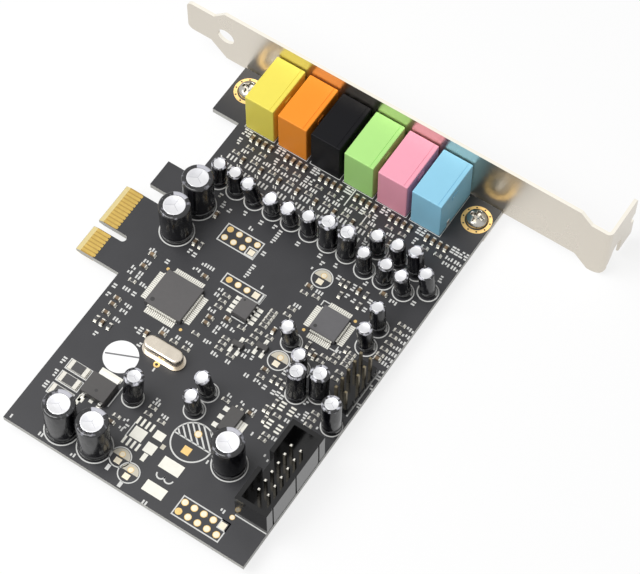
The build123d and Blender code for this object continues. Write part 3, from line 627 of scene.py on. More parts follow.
# Chip parts, each with metal ends and solder on its pads
BODY, COAT, END, FILLET = range(4)
chip_lift = 0.02
end_share = 0.2
body_share = 0.96
body_drop = 0.03
coat_inset = 0.04
coat_drop = 0.005
solder_reach = 0.1
solder_length = 0.24
solder_spare = 0.06
solder_height = 0.05
slope_reach = 0.06
slope_length = 0.14
slope_share = 0.9
slope_rise = 0.35


def add_chip(mesh, low, high, coat_share):
    """Chip part in the room of its solid, along the longer side."""
    centre = (low + high) / 2
    size = high - low
    length = max(size.x, size.y)
    width = min(size.x, size.y)
    turn = 0 if size.x > size.y else 90
    end = length * end_share
    inner = length - 2 * end
    spin = Matrix.Rotation(math.radians(turn), 2)

    def add_part(shift, part_length, part_width, part_low, part_high, material):
        offset = spin @ Vector((shift, 0))
        outline = rectangle(centre.x + offset.x, centre.y + offset.y, part_length, part_width, turn)
        add_prism(mesh, outline, part_low, part_high, material)

    add_part(0, inner, width * body_share, TOP + chip_lift, high.z - body_drop, BODY)
    if coat_share:
        add_part(0, inner - coat_inset, width * coat_share, high.z - coat_inset, high.z - coat_drop, COAT)
    slope_top = TOP + solder_height + (high.z - TOP) * slope_rise
    for side in (-1, 1):
        reach = length / 2 + solder_reach
        slope = length / 2 + slope_reach
        add_part(side * (length - end) / 2, end, width, TOP + chip_lift, high.z, END)
        add_part(side * reach, solder_length, width + solder_spare, TOP, TOP + solder_height, FILLET)
        add_part(side * slope, slope_length, width * slope_share, TOP, slope_top, FILLET)


chip_sets = {
    "chip_resistors": ("resistor_chips", ["resistor_base", "resistor_glaze"], "resistor", 0.92),
    "chip_capacitors": ("capacitor_chips", ["ceramic", "ceramic"], "ceramic", 0.0),
}
chip_boxes = []
for node, (name, bodies, slot, coat_share) in chip_sets.items():
    mesh = bmesh.new()
    for points in islands(node):
        low, high = box_of(points)
        chip_boxes.append((low, high))
        add_chip(mesh, low, high, coat_share)
    piece = new_piece(name, mesh, [*bodies, "chip_tin", "solder"])
    soften_edges(piece, 0.04)
    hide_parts(node)

# Printed marks on the board: rings, frames, hatching and rows of short bars
WHITE, PALE = range(2)
print_mesh = bmesh.new()
print_high = TOP + 0.025
print_line = 0.3
hatch_turn = 137.0
shortest_hatch = 0.3
short_bar_pitch = 0.72
short_bar_width = 0.42
short_bar_length = 1.0
shorter_bar_length = 0.66


def print_bar(x, y, width, length, turn=0.0, material=WHITE):
    """Printed rectangle."""
    add_prism(print_mesh, rectangle(x, y, width, length, turn), TOP, print_high, material)


def print_frame(x, y, width, length, line):
    """Rectangle drawn as an outline."""
    for side in (-1, 1):
        print_bar(x, y + side * (length - line) / 2, width, line)
        print_bar(x + side * (width - line) / 2, y, line, length - 2 * line)


def print_row(x, y, count=2, turn=0.0):
    """Row of short bars, some of them shorter."""
    spin = Matrix.Rotation(math.radians(turn), 2)
    for number in range(count):
        tall = seeded.choice((short_bar_length, short_bar_length, shorter_bar_length))
        drop = seeded.choice((-0.5, 0.5)) * (short_bar_length - tall)
        offset = spin @ Vector(((number - (count - 1) / 2) * short_bar_pitch, drop))
        print_bar(x + offset.x, y + offset.y, short_bar_width, tall, turn)


def print_half_hatch(x, y, radius, pitch, line):
    """Hatches the half of a circle towards the jacks."""
    slant = math.radians(hatch_turn)
    direction = Vector((math.cos(slant), math.sin(slant)))
    across = Vector((-direction.y, direction.x))
    count = int(radius / pitch)
    for number in range(-count, count + 1):
        foot = across * number * pitch
        reach = math.sqrt(max(0.0, radius ** 2 - foot.length ** 2))
        start = max(-reach, -foot.y / direction.y)
        if reach - start < shortest_hatch:
            continue
        centre = foot + direction * (start + reach) / 2
        print_bar(x + centre.x, y + centre.y, reach - start, line, hatch_turn)


# Ring round each can, with one half filled
smallest_ring = 2.68
for x, y, diameter in can_bases:
    margin = 0.5 if diameter > large_diameter else 0.2
    outer = max(smallest_ring, diameter / 2 + margin)
    add_band(print_mesh, x, y, outer - print_line, outer, print_high)
    add_prism(print_mesh, circle(x, y, outer - 0.5, 24, 5, 175), TOP, print_high)

# Rows of short bars across the board, then those along it: centre, and number of bars where it isn't two
rows_across = [
    *((x, 35.5, 3) for x in (18.1, 21.6, 24.4, 27.0, 29.6, 32.2, 35.0, 37.7, 41.6, 44.2, 47.6, 54.2, 59.4)),
    (74.4, 37.7, 3), (76.8, 37.7, 3), (74.5, 36.0, 3), (76.9, 36.1, 3), (28.7, 4.8, 5), (26.9, 2.7, 3),
    (15.5, 1.3, 3), (16.2, -2.1, 3), (14.4, -5.0), (14.3, -6.4), (16.7, -5.4), (16.7, -6.6),
    (19.0, -7.6, 3), (16.3, -10.6, 3), *((19.2, y, 3) for y in (-14.1, -15.8, -18.4)), (30.0, -14.4, 3),
    (33.6, -14.4), (36.6, -14.4, 3), (33.7, -24.2, 1), (35.9, -38.0), (36.1, -40.4), (34.6, 1.45),
    (34.6, -0.2), (36.0, -4.2, 3), (40.5, -5.8, 3), (42.9, -5.8), (39.8, -7.2), (39.8, -8.4),
    (39.8, -11.6, 3), (43.0, -13.2, 3), (46.6, -13.2), (48.7, -8.3), (48.8, -9.9), (51.8, 7.6, 3),
    (54.1, 13.4, 3), (52.1, -13.7), (55.1, -13.6, 3), (69.7, 20.7, 3), (66.3, 2.9), (77.3, 4.0),
    (31.3, 18.8), (42.3, 7.2, 1), (49.1, 17.7, 1),
    *((77.0, y, 3) for y in (16.8, 14.9, 13.1, 11.1, 9.3, 7.6, 6.2)), (66.2, -18.1), (66.3, -23.4),
    (61.5, -25.1, 1), (51.9, -20.0), (55.4, -20.0), (58.6, -20.1), (72.9, -16.0, 1), (66.9, -27.8, 1),
    (68.1, -28.5, 1), (39.0, -29.7), (39.2, -30.8, 3), (42.7, -32.6, 3), (57.1, -36.4, 1), (51.1, -52.2),
    (13.7, -51.5, 1), (22.0, -51.5), (31.0, -51.6), (66.7, -44.3),
]
rows_along = [
    *((x, 40.2, 3) for x in (15.0, 16.2, 24.6, 25.8, 34.7, 35.9, 44.2, 45.2, 54.4, 55.6, 64.4, 65.6)),
    *((x, 40.2, 3) for x in (73.9, 75.1, 76.3, 77.4)),
    *((x, 37.3, 3) for x in (15.2, 25.8, 34.7, 36.1, 44.3, 50.4, 53.8, 65.2)), (75.8, 32.0, 3),
    (73.8, 23.1), (55.6, 30.0, 3), (22.8, 5.8), (24.2, 5.6), (22.2, 20.6, 3), (24.2, 20.0), (20.0, 0.6),
    (18.5, -10.7), (13.5, -11.4), (13.6, -14.0), (17.2, -24.0), (25.3, -17.7, 3), (24.2, -17.7, 1),
    (27.2, -20.7), (15.2, -33.6, 3), (15.4, -37.2, 3), (15.4, -40.7, 3), (36.9, -39.3), (50.5, -9.3),
    (37.5, 20.2, 6), (37.5, 14.8), (37.5, 9.1, 6), (27.7, 21.4), (32.3, 21.4), (35.7, 22.2), (42.7, 21.4),
    (20.2, 22.3), (48.8, 21.6), (50.4, 20.2), (53.4, 21.5), (55.7, 19.2), (60.0, 18.9, 3), (65.2, 17.9),
    (60.0, 16.2), (61.8, 16.0), (65.3, 15.4), (61.7, 21.4), (77.5, -0.5), (77.5, 2.4), (77.5, -6.0),
    (59.0, -8.3), (57.2, -13.9), (59.6, -13.9), (60.7, -13.6), (61.9, -13.8), (68.9, -15.0, 4),
    (67.4, -15.6), (67.3, -12.0),
]
for row in rows_across:
    print_row(*row)
for row in rows_along:
    print_row(*row, turn=90)

# Marks that repeat between the row of cans and the jacks
mark_start = 16.5
mark_pitch = 5.2
for number in range(8):
    x = mark_start + mark_pitch * number
    for y in (32.4, 30.0):
        for side in (-1, 0, 1):
            print_bar(x + side * 1.0, y, 0.45, 1.4)
    for side in (-1, 1):
        print_bar(x + side * 2.3, 31.2, 0.3, 0.9, 30)

# Lines beside the filters, the regulator, the headers and the chips: centre, width and length
print_lines = [
    (46.0, 38.8, 0.28, 5.4), (52.1, 36.6, 0.28, 5.3), (30.5, -34.3, 0.25, 6.6), (76.8, -3.1, 0.42, 13.2),
    (76.4, 3.4, 0.9, 0.25), (42.4, -3.0, 3.6, 0.25), (44.9, -3.3, 0.25, 0.9), (57.1, 12.3, 1.5, 0.28),
    (56.2, 11.6, 0.28, 1.5), (64.8, 2.6, 1.5, 0.28), (65.6, 3.3, 0.28, 1.5), (38.0, -39.3, 0.25, 4.2),
    (43.95, 4.5, 0.7, 2.6), (73.7, -43.5, 8.4, 0.3),
]
for line in print_lines:
    print_bar(*line)

# Line round the near end of each jack
jack_line = 0.14
jack_line_gap = 0.2
jack_line_end = 54.6
for jack in jack_colours:
    jack_low, jack_high = box_in_mm(f"{jack}_jack")
    centre_x = (jack_low.x + jack_high.x) / 2
    jack_width = jack_high.x - jack_low.x
    print_bar(centre_x, jack_low.y - jack_line_gap, jack_width + 2 * jack_line_gap + jack_line, jack_line)
    for side in (-1, 1):
        side_x = centre_x + side * (jack_width / 2 + jack_line_gap)
        side_length = jack_line_end - jack_low.y + 2 * jack_line_gap
        print_bar(side_x, (jack_low.y + jack_line_end) / 2, jack_line, side_length)

# Frames of the empty pin rows, of two of their square pads and of the large resistors
print_frames = [
    (31.2, 14.55, 10.4, 5.3), (34.9, 13.45, 2.6, 2.5), (38.85, 4.5, 11.1, 3.0), (63.75, -48.5, 12.7, 5.4),
    (68.9, -47.05, 2.4, 2.5),
]
for outline in print_frames:
    print_frame(*outline, print_line)
large_resistor_length = 3.0
for low, high in chip_boxes:
    if high.x - low.x > large_resistor_length:
        centre = (low + high) / 2
        print_frame(centre.x, centre.y, 6.2, 3.0, 0.25)

# Pale bar and two half rings beside the bare pads
print_bar(46.7, -38.9, 1.0, 1.2, material=PALE)
for x in (50.3, 52.4):
    add_band(print_mesh, x, -44.6, 0.9, 1.25, print_high, 180, 360, 16)

# Bars along the sides of the square chips
side_line = 0.24
side_gap = 0.2
side_shortfall = 1.6
for chip in ("controller_chip", "codec_chip"):
    low, high = box_in_mm(chip)
    centre = (low + high) / 2
    half = (high - low) / 2
    for side in (-1, 1):
        print_bar(centre.x + side * (half.x + side_gap), centre.y, side_line, 2 * half.y - side_shortfall)
        print_bar(centre.x, centre.y + side * (half.y + side_gap), 2 * half.x - side_shortfall, side_line)

# Empty can places, each with a ring and a shaded half, and the large one with hatching
empty_radius = 2.65
empty_cans = [(52.6, 16.85), (56.1, -6.5), (40.2, -46.2), (44.0, -48.3)]
for x, y in empty_cans:
    add_band(print_mesh, x, y, empty_radius - 0.28, empty_radius, print_high)
    add_prism(print_mesh, circle(x, y, empty_radius - 0.4, 24, 4, 176), TOP, print_high, PALE)
for x, y in ((39.3, -49.7), (44.0, -51.6)):
    print_bar(x, y, 0.9, 1.5)
large_x = 51.5
large_y = -34.3
large_radius = 5.1
large_line = 0.35
add_band(print_mesh, large_x, large_y, large_radius - large_line, large_radius, print_high, steps=64)
print_bar(large_x, large_y, 2 * large_radius - 0.5, large_line)
print_half_hatch(large_x, large_y, large_radius - 0.2, 1.15, 0.38)
new_piece("top_print", print_mesh, ["print_white", "print_pale"])

# Bare pads: tinned ones, cream ones with solder in their holes, and gold ones
TINNED, CREAM, GOLDEN, HOLE_SHADE = range(4)
pad_mesh = bmesh.new()
pad_high = TOP + 0.035
pin_pitch = 2.54
pin_pad = 0.8


def add_pad(outline, material, lift=0.0):
    """Pad with a flat outline."""
    add_prism(pad_mesh, outline, TOP, pad_high + lift, material)


def pad_bar(x, y, width, length, material=TINNED):
    """Rectangular pad."""
    add_pad(rectangle(x, y, width, length), material)


def pad_disc(x, y, radius, material):
    """Round pad with a gold edge and a raised middle."""
    add_pad(circle(x, y, radius), GOLDEN)
    add_pad(circle(x, y, radius * 0.8), material, 0.02)
    add_pad(circle(x, y, radius * 0.4, 16), material, 0.05)


# Empty chip place and single pads: centre, width and length
for x in (38.3, 39.55, 40.8, 42.05):
    for y in (-36.4, -42.1):
        pad_bar(x, y, 0.6, 2.0)
pad_bars = [
    (44.5, -37.1, 2.5, 2.1), (44.5, -40.8, 2.6, 2.6), (44.6, -43.3, 1.1, 2.0), (51.1, -41.8, 5.4, 3.0),
    (40.25, -39.3, 3.3, 3.0), (51.2, -48.5, 5.4, 2.8), (23.9, -39.8, 0.9, 2.6), (26.5, -38.6, 1.0, 0.9),
    (29.0, -39.4, 1.0, 1.8),
]
for bar in pad_bars:
    pad_bar(*bar)
for row_y in (-14.7, -20.0):
    for number in range(3):
        for x in (63.25, 65.85):
            pad_bar(x, row_y - 0.93 * number, 1.4, 0.5)

# Empty pin rows, two by four, one by four and two by five, each with one square pad
near_row = 13.4
far_row = 15.9
pad_disc(27.4, near_row, pin_pad, CREAM)
pad_disc(27.4, far_row, pin_pad, GOLDEN)
for row_y, count in ((far_row, 3), (near_row, 2)):
    for number in range(count):
        pad_disc(29.95 + pin_pitch * number, row_y, pin_pad, CREAM)
pad_bar(35.0, near_row, 1.5, 1.5, CREAM)
single_row = 4.6
for number in range(3):
    pad_disc(34.8 + 2.5 * number, single_row, pin_pad, CREAM if number else GOLDEN)
pad_bar(42.3, single_row, 1.6, 1.6, CREAM)
for column in range(5):
    for row in range(2):
        x = 58.6 + pin_pitch * column
        y = -49.75 + pin_pitch * row
        if column == 4 and row == 1:
            pad_bar(x, y, 1.6, 1.6, CREAM)
        else:
            pad_disc(x, y, 0.85, GOLDEN if column == 0 and row == 0 else CREAM)

# Pads of the empty can places, and single round ones
for x, y in empty_cans:
    pad_disc(x, y + 0.85, 0.75, CREAM)
    pad_bar(x, y - 1.0, 1.6, 1.4, CREAM)
pad_disc(large_x, large_y + 2.4, 0.9, CREAM)
pad_bar(large_x + 0.1, large_y - 2.4, 2.0, 2.0, GOLDEN)
for x, y in ((21.3, -0.9), (32.9, -12.4), (65.2, 11.7), (56.5, 3.3)):
    add_pad(circle(x, y, 0.4, 16), GOLDEN)
hole_x = 33.5
hole_y = -22.75
pad_disc(hole_x, hole_y, pin_pad, GOLDEN)
# The hole is a dark disc of painted shade
add_pad(circle(hole_x, hole_y, 0.36, 16), HOLE_SHADE, 0.06)
pad_disc(69.35, -44.4, 0.62, CREAM)

# Pads under the leads of the chips, and bright shoulders on the fine leads
lead_homes = {
    "controller_leads": ["controller_chip"],
    "codec_leads": ["codec_chip"],
    "small_chip_leads": ["memory_chip", "small_regulator", "transistors"],
    "regulator_plate": ["regulator_body"],
}
fine_leads = ("controller_leads", "codec_leads")
pad_under = 0.6
shoulder_reach = 0.42
shoulder_depth = 0.06
shoulder_lift = 0.012


def bar_along(axis, along, across, length, width):
    """Rectangle with its length on X for axis 0, or on Y for axis 1."""
    if axis == 0:
        return rectangle(along, across, length, width)
    return rectangle(across, along, width, length)


for node, homes in lead_homes.items():
    past = 0.85 if node in fine_leads else 0.75
    spare = 0.18 if node in fine_leads else 0.5
    bodies = [box_of(points) for home in homes for points in islands(home)]
    for points in islands(node):
        low, high = box_of(points)
        centre = (low + high) / 2
        body_low, body_high = min(bodies, key=lambda box: ((box[0] + box[1]) / 2 - centre).length)
        body = (body_low + body_high) / 2
        out = [abs(centre[axis] - body[axis]) - (body_high[axis] - body_low[axis]) / 2 for axis in (0, 1)]
        axis = 0 if out[0] > out[1] else 1
        other = 1 - axis
        side = 1 if centre[axis] > body[axis] else -1
        width = high[other] - low[other] + spare
        tip = high[axis] if side > 0 else low[axis]
        pad_middle = tip + side * (past - pad_under) / 2
        add_pad(bar_along(axis, pad_middle, centre[other], past + pad_under, width), TINNED)
        if node in fine_leads:
            edge = body[axis] + side * (body_high[axis] - body_low[axis]) / 2
            shoulder_middle = edge + side * shoulder_reach / 2
            shoulder = bar_along(axis, shoulder_middle, centre[other], shoulder_reach, width)
            add_prism(pad_mesh, shoulder, high.z - shoulder_depth, high.z + shoulder_lift, TINNED)

# Gold rings round the screws, with a circle of small vias drawn as dark discs of painted shade
ring_inner = 2.85
ring_outer = 3.75
ring_vias = 10
ring_via_reach = 3.3
ring_via_radius = 0.22
ring_via_turn = 12
screw_boxes = [box_of(points) for points in islands("bracket_screws")]
for low, high in screw_boxes:
    centre = (low + high) / 2
    add_band(pad_mesh, centre.x, centre.y, ring_inner, ring_outer, pad_high, steps=64, material=GOLDEN)
    for number in range(ring_vias):
        turn = math.radians(360 / ring_vias * number + ring_via_turn)
        x = centre.x + ring_via_reach * math.cos(turn)
        y = centre.y + ring_via_reach * math.sin(turn)
        add_pad(circle(x, y, ring_via_radius, 12), HOLE_SHADE, 0.01)
new_piece("board_pads", pad_mesh, ["pad_tin", "pad_cream", "pad_gold", "hole_painted_shade"])

# Bare laminate between the edge contacts, on both faces and down the bevel
FLAT, BEVEL = range(2)
contacts_low, contacts_high = box_in_mm("edge_contacts")
laminate_mesh = bmesh.new()
bevel_length = 1.3
bevel_depth = 0.4
bevel_start = 0.03
bevel_share = 0.97
bevel_skin = 0.03
skin = 0.012
laminate_margin = 0.35
half_notch_room = 1.0
patch_end = contacts_high.x - laminate_margin
slope = [(bevel_start, TOP - bevel_depth * bevel_share), (bevel_length, TOP + skin)]
laminate_spans = [
    (contacts_low.y - laminate_margin, -half_notch_room),
    (half_notch_room, contacts_high.y + laminate_margin),
]
for face in (1, -1):
    for y_low, y_high in laminate_spans:
        middle_y = (y_low + y_high) / 2
        patch_middle = (bevel_length + patch_end) / 2
        patch = rectangle(patch_middle, middle_y, patch_end - bevel_length, y_high - y_low)
        heights = sorted((face * TOP, face * (TOP + skin)))
        add_prism(laminate_mesh, patch, *heights, FLAT)
        loop = [(*slope[0], y_low), (*slope[1], y_low), (*slope[1], y_high), (*slope[0], y_high)]
        lower = [Vector((x, y, face * (z - bevel_skin))) * MM for x, z, y in loop]
        upper = [Vector((x, y, face * z)) * MM for x, z, y in loop]
        add_block(laminate_mesh, lower, upper, BEVEL)
new_piece("bare_laminate", laminate_mesh, ["laminate", "bevel_laminate"])

# Screws with a domed head and a cross recess
screw_mesh = bmesh.new()
arm_half_width = 0.42
arm_half_length = 1.75
arm_root = 1.15
arm_taper = 0.25
arm_wall = 0.06
arm_end = 0.3
recess_depth = 1.15
recess_rise = 0.4
rim_height = 0.45
dome_power = 2.6
head_rings = 26
head_steps = 72
head_gap = 0.02
shank = 1.45
shank_point_share = 0.75
shank_point = 0.35


def step_between(value, start, end):
    """Smooth rise from 0 to 1."""
    share = min(1.0, max(0.0, (value - start) / (end - start)))
    return share * share * (3 - 2 * share)


def head_height(x, y, radius, height):
    """Height of a screw head with a cross sunk into it."""
    reach = math.hypot(x, y)
    edge = min(1.0, reach / radius)
    dome = rim_height + (height - rim_height) * math.sqrt(max(0.0, 1 - edge ** dome_power))
    inside = 0.0
    for along, across in ((x, y), (y, x)):
        width = arm_half_width * (arm_root - arm_taper * abs(along) / arm_half_length)
        sunk = 1 - step_between(abs(across), width - arm_wall, width + arm_wall)
        kept = 1 - step_between(abs(along), arm_half_length - arm_end, arm_half_length)
        inside = max(inside, sunk * kept)
    return dome - inside * (recess_depth - recess_rise * reach / arm_half_length)


for low, high in screw_boxes:
    centre = (low + high) / 2
    radius = (high.x - low.x) / 2
    head = high.z - TOP
    profile = [
        (0, low.z, 0),
        (shank * shank_point_share, low.z, 0),
        (shank, low.z + shank_point, 0),
        (shank, TOP + head_gap, 0),
        (radius, TOP + head_gap, 0),
        (radius, TOP + rim_height, 0),
    ]
    add_revolved(screw_mesh, profile, at(centre.x, centre.y), head_steps)
    rings = []
    for ring in range(1, head_rings + 1):
        points = circle(0, 0, radius * ring / head_rings, head_steps)
        heights = [TOP + head_height(p.x, p.y, radius, head) for p in points]
        rings.append([
            screw_mesh.verts.new(Vector((centre.x + p.x, centre.y + p.y, height)) * MM)
            for p, height in zip(points, heights)
        ])
    top = screw_mesh.verts.new(Vector((centre.x, centre.y, TOP + head_height(0, 0, radius, head))) * MM)
    for step in range(head_steps):
        follow = (step + 1) % head_steps
        screw_mesh.faces.new((top, rings[0][step], rings[0][follow]))
        for ring, after in zip(rings, rings[1:]):
            screw_mesh.faces.new((ring[step], after[step], after[follow], ring[follow]))
bmesh.ops.remove_doubles(screw_mesh, verts=screw_mesh.verts, dist=0.005 * MM)
screws = new_piece("pan_screws", screw_mesh, ["screw_steel"], smooth_angle=35)
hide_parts("bracket_screws")

# Latch and contact tab on the side of each jack
tab_mesh = bmesh.new()
tab_materials = [*(f"{jack}_plastic" for jack in jack_colours), "tin"]
latch_y = 6.0
latch_drop = (3.2, 1.9)
contact_y = 3.6
contact_rise = 2.2
for number, jack in enumerate(jack_colours):
    jack_low, jack_high = box_in_mm(f"{jack}_jack")
    latch = rectangle(jack_high.x + 0.1, jack_low.y + latch_y, 0.24, 2.4)
    add_prism(tab_mesh, latch, jack_high.z - latch_drop[0], jack_high.z - latch_drop[1], number)
    contact = rectangle(jack_high.x + 0.08, jack_low.y + contact_y, 0.2, 1.2)
    add_prism(tab_mesh, contact, TOP, TOP + contact_rise, len(tab_materials) - 1)
tabs = new_piece("jack_tabs", tab_mesh, tab_materials)
soften_edges(tabs, 0.06)

# Dimples of the chips and mould mark of the regulator: place as shares of the body, and radius
dimple_mesh = bmesh.new()
chip_marks = [
    ("controller_chip", -0.36, -0.36, 0.55),
    ("codec_chip", -0.34, -0.34, 0.45),
    ("memory_chip", -0.28, 0.34, 0.3),
    ("regulator_body", 0.02, -0.18, 0.42),
]
for node, across, along, radius in chip_marks:
    low, high = box_in_mm(node)
    x = (low.x + high.x) / 2 + across * (high.x - low.x)
    y = (low.y + high.y) / 2 + along * (high.y - low.y)
    profile = [(radius, -0.02, 0), (radius, 0.008, 0), (radius * 0.8, 0.012, 0), (0, 0.004, 0)]
    add_revolved(dimple_mesh, profile, at(x, y, high.z), 24)
new_piece("chip_dimples", dimple_mesh, ["dimple_plastic"], smooth_angle=50)

# Plain line across the label
label_low, label_high = box_in_mm("round_label")
label_x = (label_low.x + label_high.x) / 2
label_y = (label_low.y + label_high.y) / 2
label_mesh = bmesh.new()
label_width = label_high.x - label_low.x
ink_line = rectangle(label_x, label_y + 0.5, label_width * 0.96, 0.4, 24)
add_prism(label_mesh, ink_line, label_high.z, label_high.z + 0.01)
new_piece("label_line", label_mesh, ["label_ink"])

# Solder under the board, on every lead that comes through
solder_mesh = bmesh.new()
solder_radii = {"box_header_pins": 0.42, "pin_header_pins": 0.42, "jack_contacts": 0.5, "crystal": 0.24}
solder_spread = [(0.5, 0.0), (0.42, 0.08), (0.22, 0.3), (0.08, 0.66), (0.0, 0.86)]
solder_tip = 0.9
lead_room = 1.5
jack_tails = []
for node, radius in solder_radii.items():
    for points in islands(node):
        ends = [point for point in points if point.z < BOTTOM - 0.4]
        corners = sorted({(round(point.x, 1), round(point.y, 1)) for point in ends})
        columns = []
        for x, y in corners:
            near = [
                column
                for column in columns
                if abs(column[0][0] - x) < lead_room and abs(column[0][1] - y) < lead_room
            ]
            if near:
                near[0].append((x, y))
            else:
                columns.append([(x, y)])
        for column in columns:
            x = sum(corner[0] for corner in column) / len(column)
            y = sum(corner[1] for corner in column) / len(column)
            lead_places.append((x, y, radius))
            if node == "jack_contacts":
                jack_tails.append((x, y))
for x, y, radius in lead_places:
    place = at(x, y, BOTTOM) @ Matrix.Rotation(math.pi, 4, "X")
    profile = [(radius + spread, rise, 0) for spread, rise in solder_spread]
    profile.append((0, solder_tip, 0))
    add_revolved(solder_mesh, profile, place, 16)
new_piece("solder_joints", solder_mesh, ["solder"], smooth_angle=50)

# Traces and covered vias under the board
trace_mesh = bmesh.new()
trace_depth = 0.03
trace_width = 0.4
via_radius = 0.36
via_rise = 0.01


def add_trace(path):
    """Flat line through some points, with mitred bends."""
    left = []
    right = []
    for number, point in enumerate(path):
        before = path[number - 1] if number else 2 * point - path[1]
        after = path[number + 1] if number + 1 < len(path) else 2 * point - path[-2]
        heading = (point - before).normalized() + (after - point).normalized()
        heading.normalize()
        reach = trace_width / 2 / heading.dot((after - point).normalized())
        side = Vector((-heading.y, heading.x)) * reach
        left.append(point + side)
        right.append(point - side)
    add_prism(trace_mesh, left + right[::-1], BOTTOM - trace_depth, BOTTOM)


def add_via(x, y):
    """Round via under the mask."""
    add_prism(trace_mesh, circle(x, y, via_radius, 16), BOTTOM - trace_depth - via_rise, BOTTOM)


def bent_path(start, end, bend):
    """Points along Y, across at 45 degrees, then along Y again."""
    drop = bend - abs(end[0] - start[0])
    points = [start, (start[0], bend), (end[0], drop), end]
    return [Vector(point) for point in points]


# From the jacks to the row of cans
jack_bend = 41.0
can_row_low = 25
can_row_high = 32
small_half_pitch = can_sizes["small"][2] / 2
rear_tails = max(y for _, y in jack_tails)
front_tails = sorted((x, y) for x, y in jack_tails if y < rear_tails - 1)
can_tails = sorted((x, y + small_half_pitch) for x, y, _ in can_bases if can_row_low < y < can_row_high)
for tail, can_tail in zip(front_tails, can_tails):
    add_trace(bent_path(tail, can_tail, jack_bend))

# From the edge contacts, on both sides of the notch
first_contact = 1.5
fan_end = 13.8
fan_step = 1.2
for side, count in ((1, 11), (-1, 7)):
    for number in range(count):
        y = side * (first_contact + number)
        end = fan_end + fan_step * (number % 3)
        add_trace([Vector((contacts_high.x - 0.2, y)), Vector((end, y))])
        add_via(end, y)

# Between the two square chips
bus_start = (33.0, -10.0)
bus_end = (57.5, 4.0)
bus_pitch = 0.9
bus_bend = 41.0
bus_bend_step = 0.37
for number in range(6):
    start = Vector((bus_start[0], bus_start[1] + bus_pitch * number))
    end = Vector((bus_end[0], bus_end[1] + bus_pitch * number))
    bend = bus_bend - bus_bend_step * number
    add_trace([start, Vector((bend, start.y)), Vector((bend + end.y - start.y, end.y)), end])
    add_via(start.x, start.y)
    add_via(end.x, end.y)

# Vias along the two long edges
edge_via_start = 3.0
edge_via_pitch = 5.6
edge_via_inset = 1.2
connector_via_x = 13.4
connector_via_limit = -12
board_low, board_high = box_in_mm("circuit_board")
for number in range(17):
    y = board_low.y + edge_via_start + edge_via_pitch * number
    add_via(board_high.x - edge_via_inset, y)
    if y < connector_via_limit:
        add_via(connector_via_x, y)
new_piece("bottom_traces", trace_mesh, ["trace_mask"])


def seen_by(tree, rays):
    """Output that is 1 for some kinds of ray, and 0 for all others."""
    light_path = tree.nodes.new("ShaderNodeLightPath")
    seen = light_path.outputs[rays[0]]
    for ray in rays[1:]:
        kinds = {0: seen, 1: light_path.outputs[ray]}
        seen = add_node(tree, "Math", "Value", kinds, operation="MAXIMUM")
    return seen


# Pale floor with the shadow of the card
floor_half = 900.0
floor_gap = 0.01
floor_glow = 0.82
floor_material = bpy.data.materials.new("floor")
floor_material.use_nodes = True
floor_tree = floor_material.node_tree
floor_seen = seen_by(floor_tree, ("Is Camera Ray", "Is Glossy Ray"))
floor_colour = mix_colours(floor_tree, floor_seen, linear(160, 160, 160), linear(250, 250, 250))
floor_shader = floor_tree.nodes["Principled BSDF"]
fill(floor_shader, {"Roughness": 0.9, "Specular IOR Level": 0.1, "Base Color": floor_colour})
glow = add_node(floor_tree, "Emission", "Emission", {"Color": (1, 1, 1, 1), "Strength": 1.0})
glow_values = {0: floor_seen, 1: floor_glow}
glow_share = add_node(floor_tree, "Math", "Value", glow_values, operation="MULTIPLY")
floor_parts = {"Fac": glow_share, 1: floor_shader.outputs["BSDF"], 2: glow}
blend = add_node(floor_tree, "MixShader", "Shader", floor_parts)
fill(floor_tree.nodes["Material Output"], {"Surface": blend})
floor_mesh = bmesh.new()
floor_z = cad_low.z / MM - floor_gap
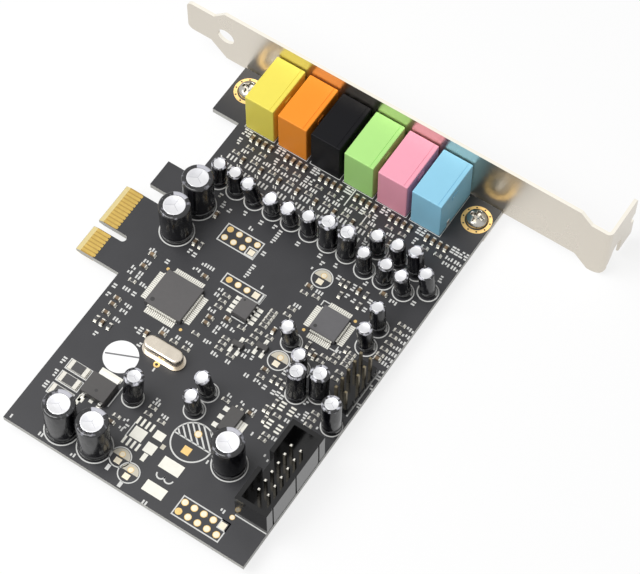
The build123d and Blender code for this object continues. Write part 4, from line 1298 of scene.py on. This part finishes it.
floor_corners = rectangle(0, 0, 2 * floor_half, 2 * floor_half)
floor_mesh.faces.new([
    floor_mesh.verts.new(Vector((corner.x, corner.y, floor_z)) * MM) for corner in floor_corners
])
floor_data = bpy.data.meshes.new("floor")
floor_mesh.to_mesh(floor_data)
floor_mesh.free()
floor_data.materials.append(floor_material)
floor = add_object("floor", floor_data)

# Soft light from all round, white to the camera and in reflections
world = bpy.data.worlds.new("studio")
bpy.context.scene.world = world
world.use_nodes = True
world_tree = world.node_tree
world_seen = seen_by(world_tree, ("Is Camera Ray", "Is Glossy Ray", "Is Transmission Ray"))
light_span = {"To Min": 0.32, "To Max": 1.0, "Value": world_seen}
strength = add_node(world_tree, "MapRange", "Result", light_span)
fill(world_tree.nodes["Background"], {"Color": (1, 1, 1, 1), "Strength": strength})

# Soft square lamp over the connector side of the card
lamp_place = Vector((-190, -225, 600))
lamp_target = Vector((45, 0, 0))
lamp = bpy.data.lights.new("overhead_lamp", "AREA")
lamp.shape = "SQUARE"
lamp.size = 500 * MM
lamp.energy = 4.6
lamp_holder = add_object("overhead_lamp", lamp)
lamp_holder.location = lamp_place * MM
lamp_holder.rotation_mode = "QUATERNION"
lamp_holder.rotation_quaternion = (lamp_target - lamp_place).to_track_quat("-Z", "Y")

# Camera at the angle of the photograph
camera_place = Vector((206.06, -217.43, 510.36))
camera_right = Vector((0.832826, 0.553534, 0.000612))
camera_up = Vector((-0.485943, 0.730601, 0.479669))
camera_back = Vector((0.265066, -0.399778, 0.877450))
camera_data = bpy.data.cameras.new("camera")
camera_data.sensor_fit = "HORIZONTAL"
camera_data.sensor_width = 36.0
camera_data.lens = 140.58
camera_data.shift_x = 0.0072
camera_data.shift_y = -0.0044
camera_data.clip_start = 0.01
camera_data.clip_end = 10.0
camera = add_object("camera", camera_data)
camera_turn = Matrix((camera_right, camera_up, camera_back)).transposed().to_4x4()
camera.matrix_world = Matrix.Translation(camera_place * MM) @ camera_turn
bpy.context.scene.camera = camera
bpy.context.scene.view_settings.view_transform = "Standard"
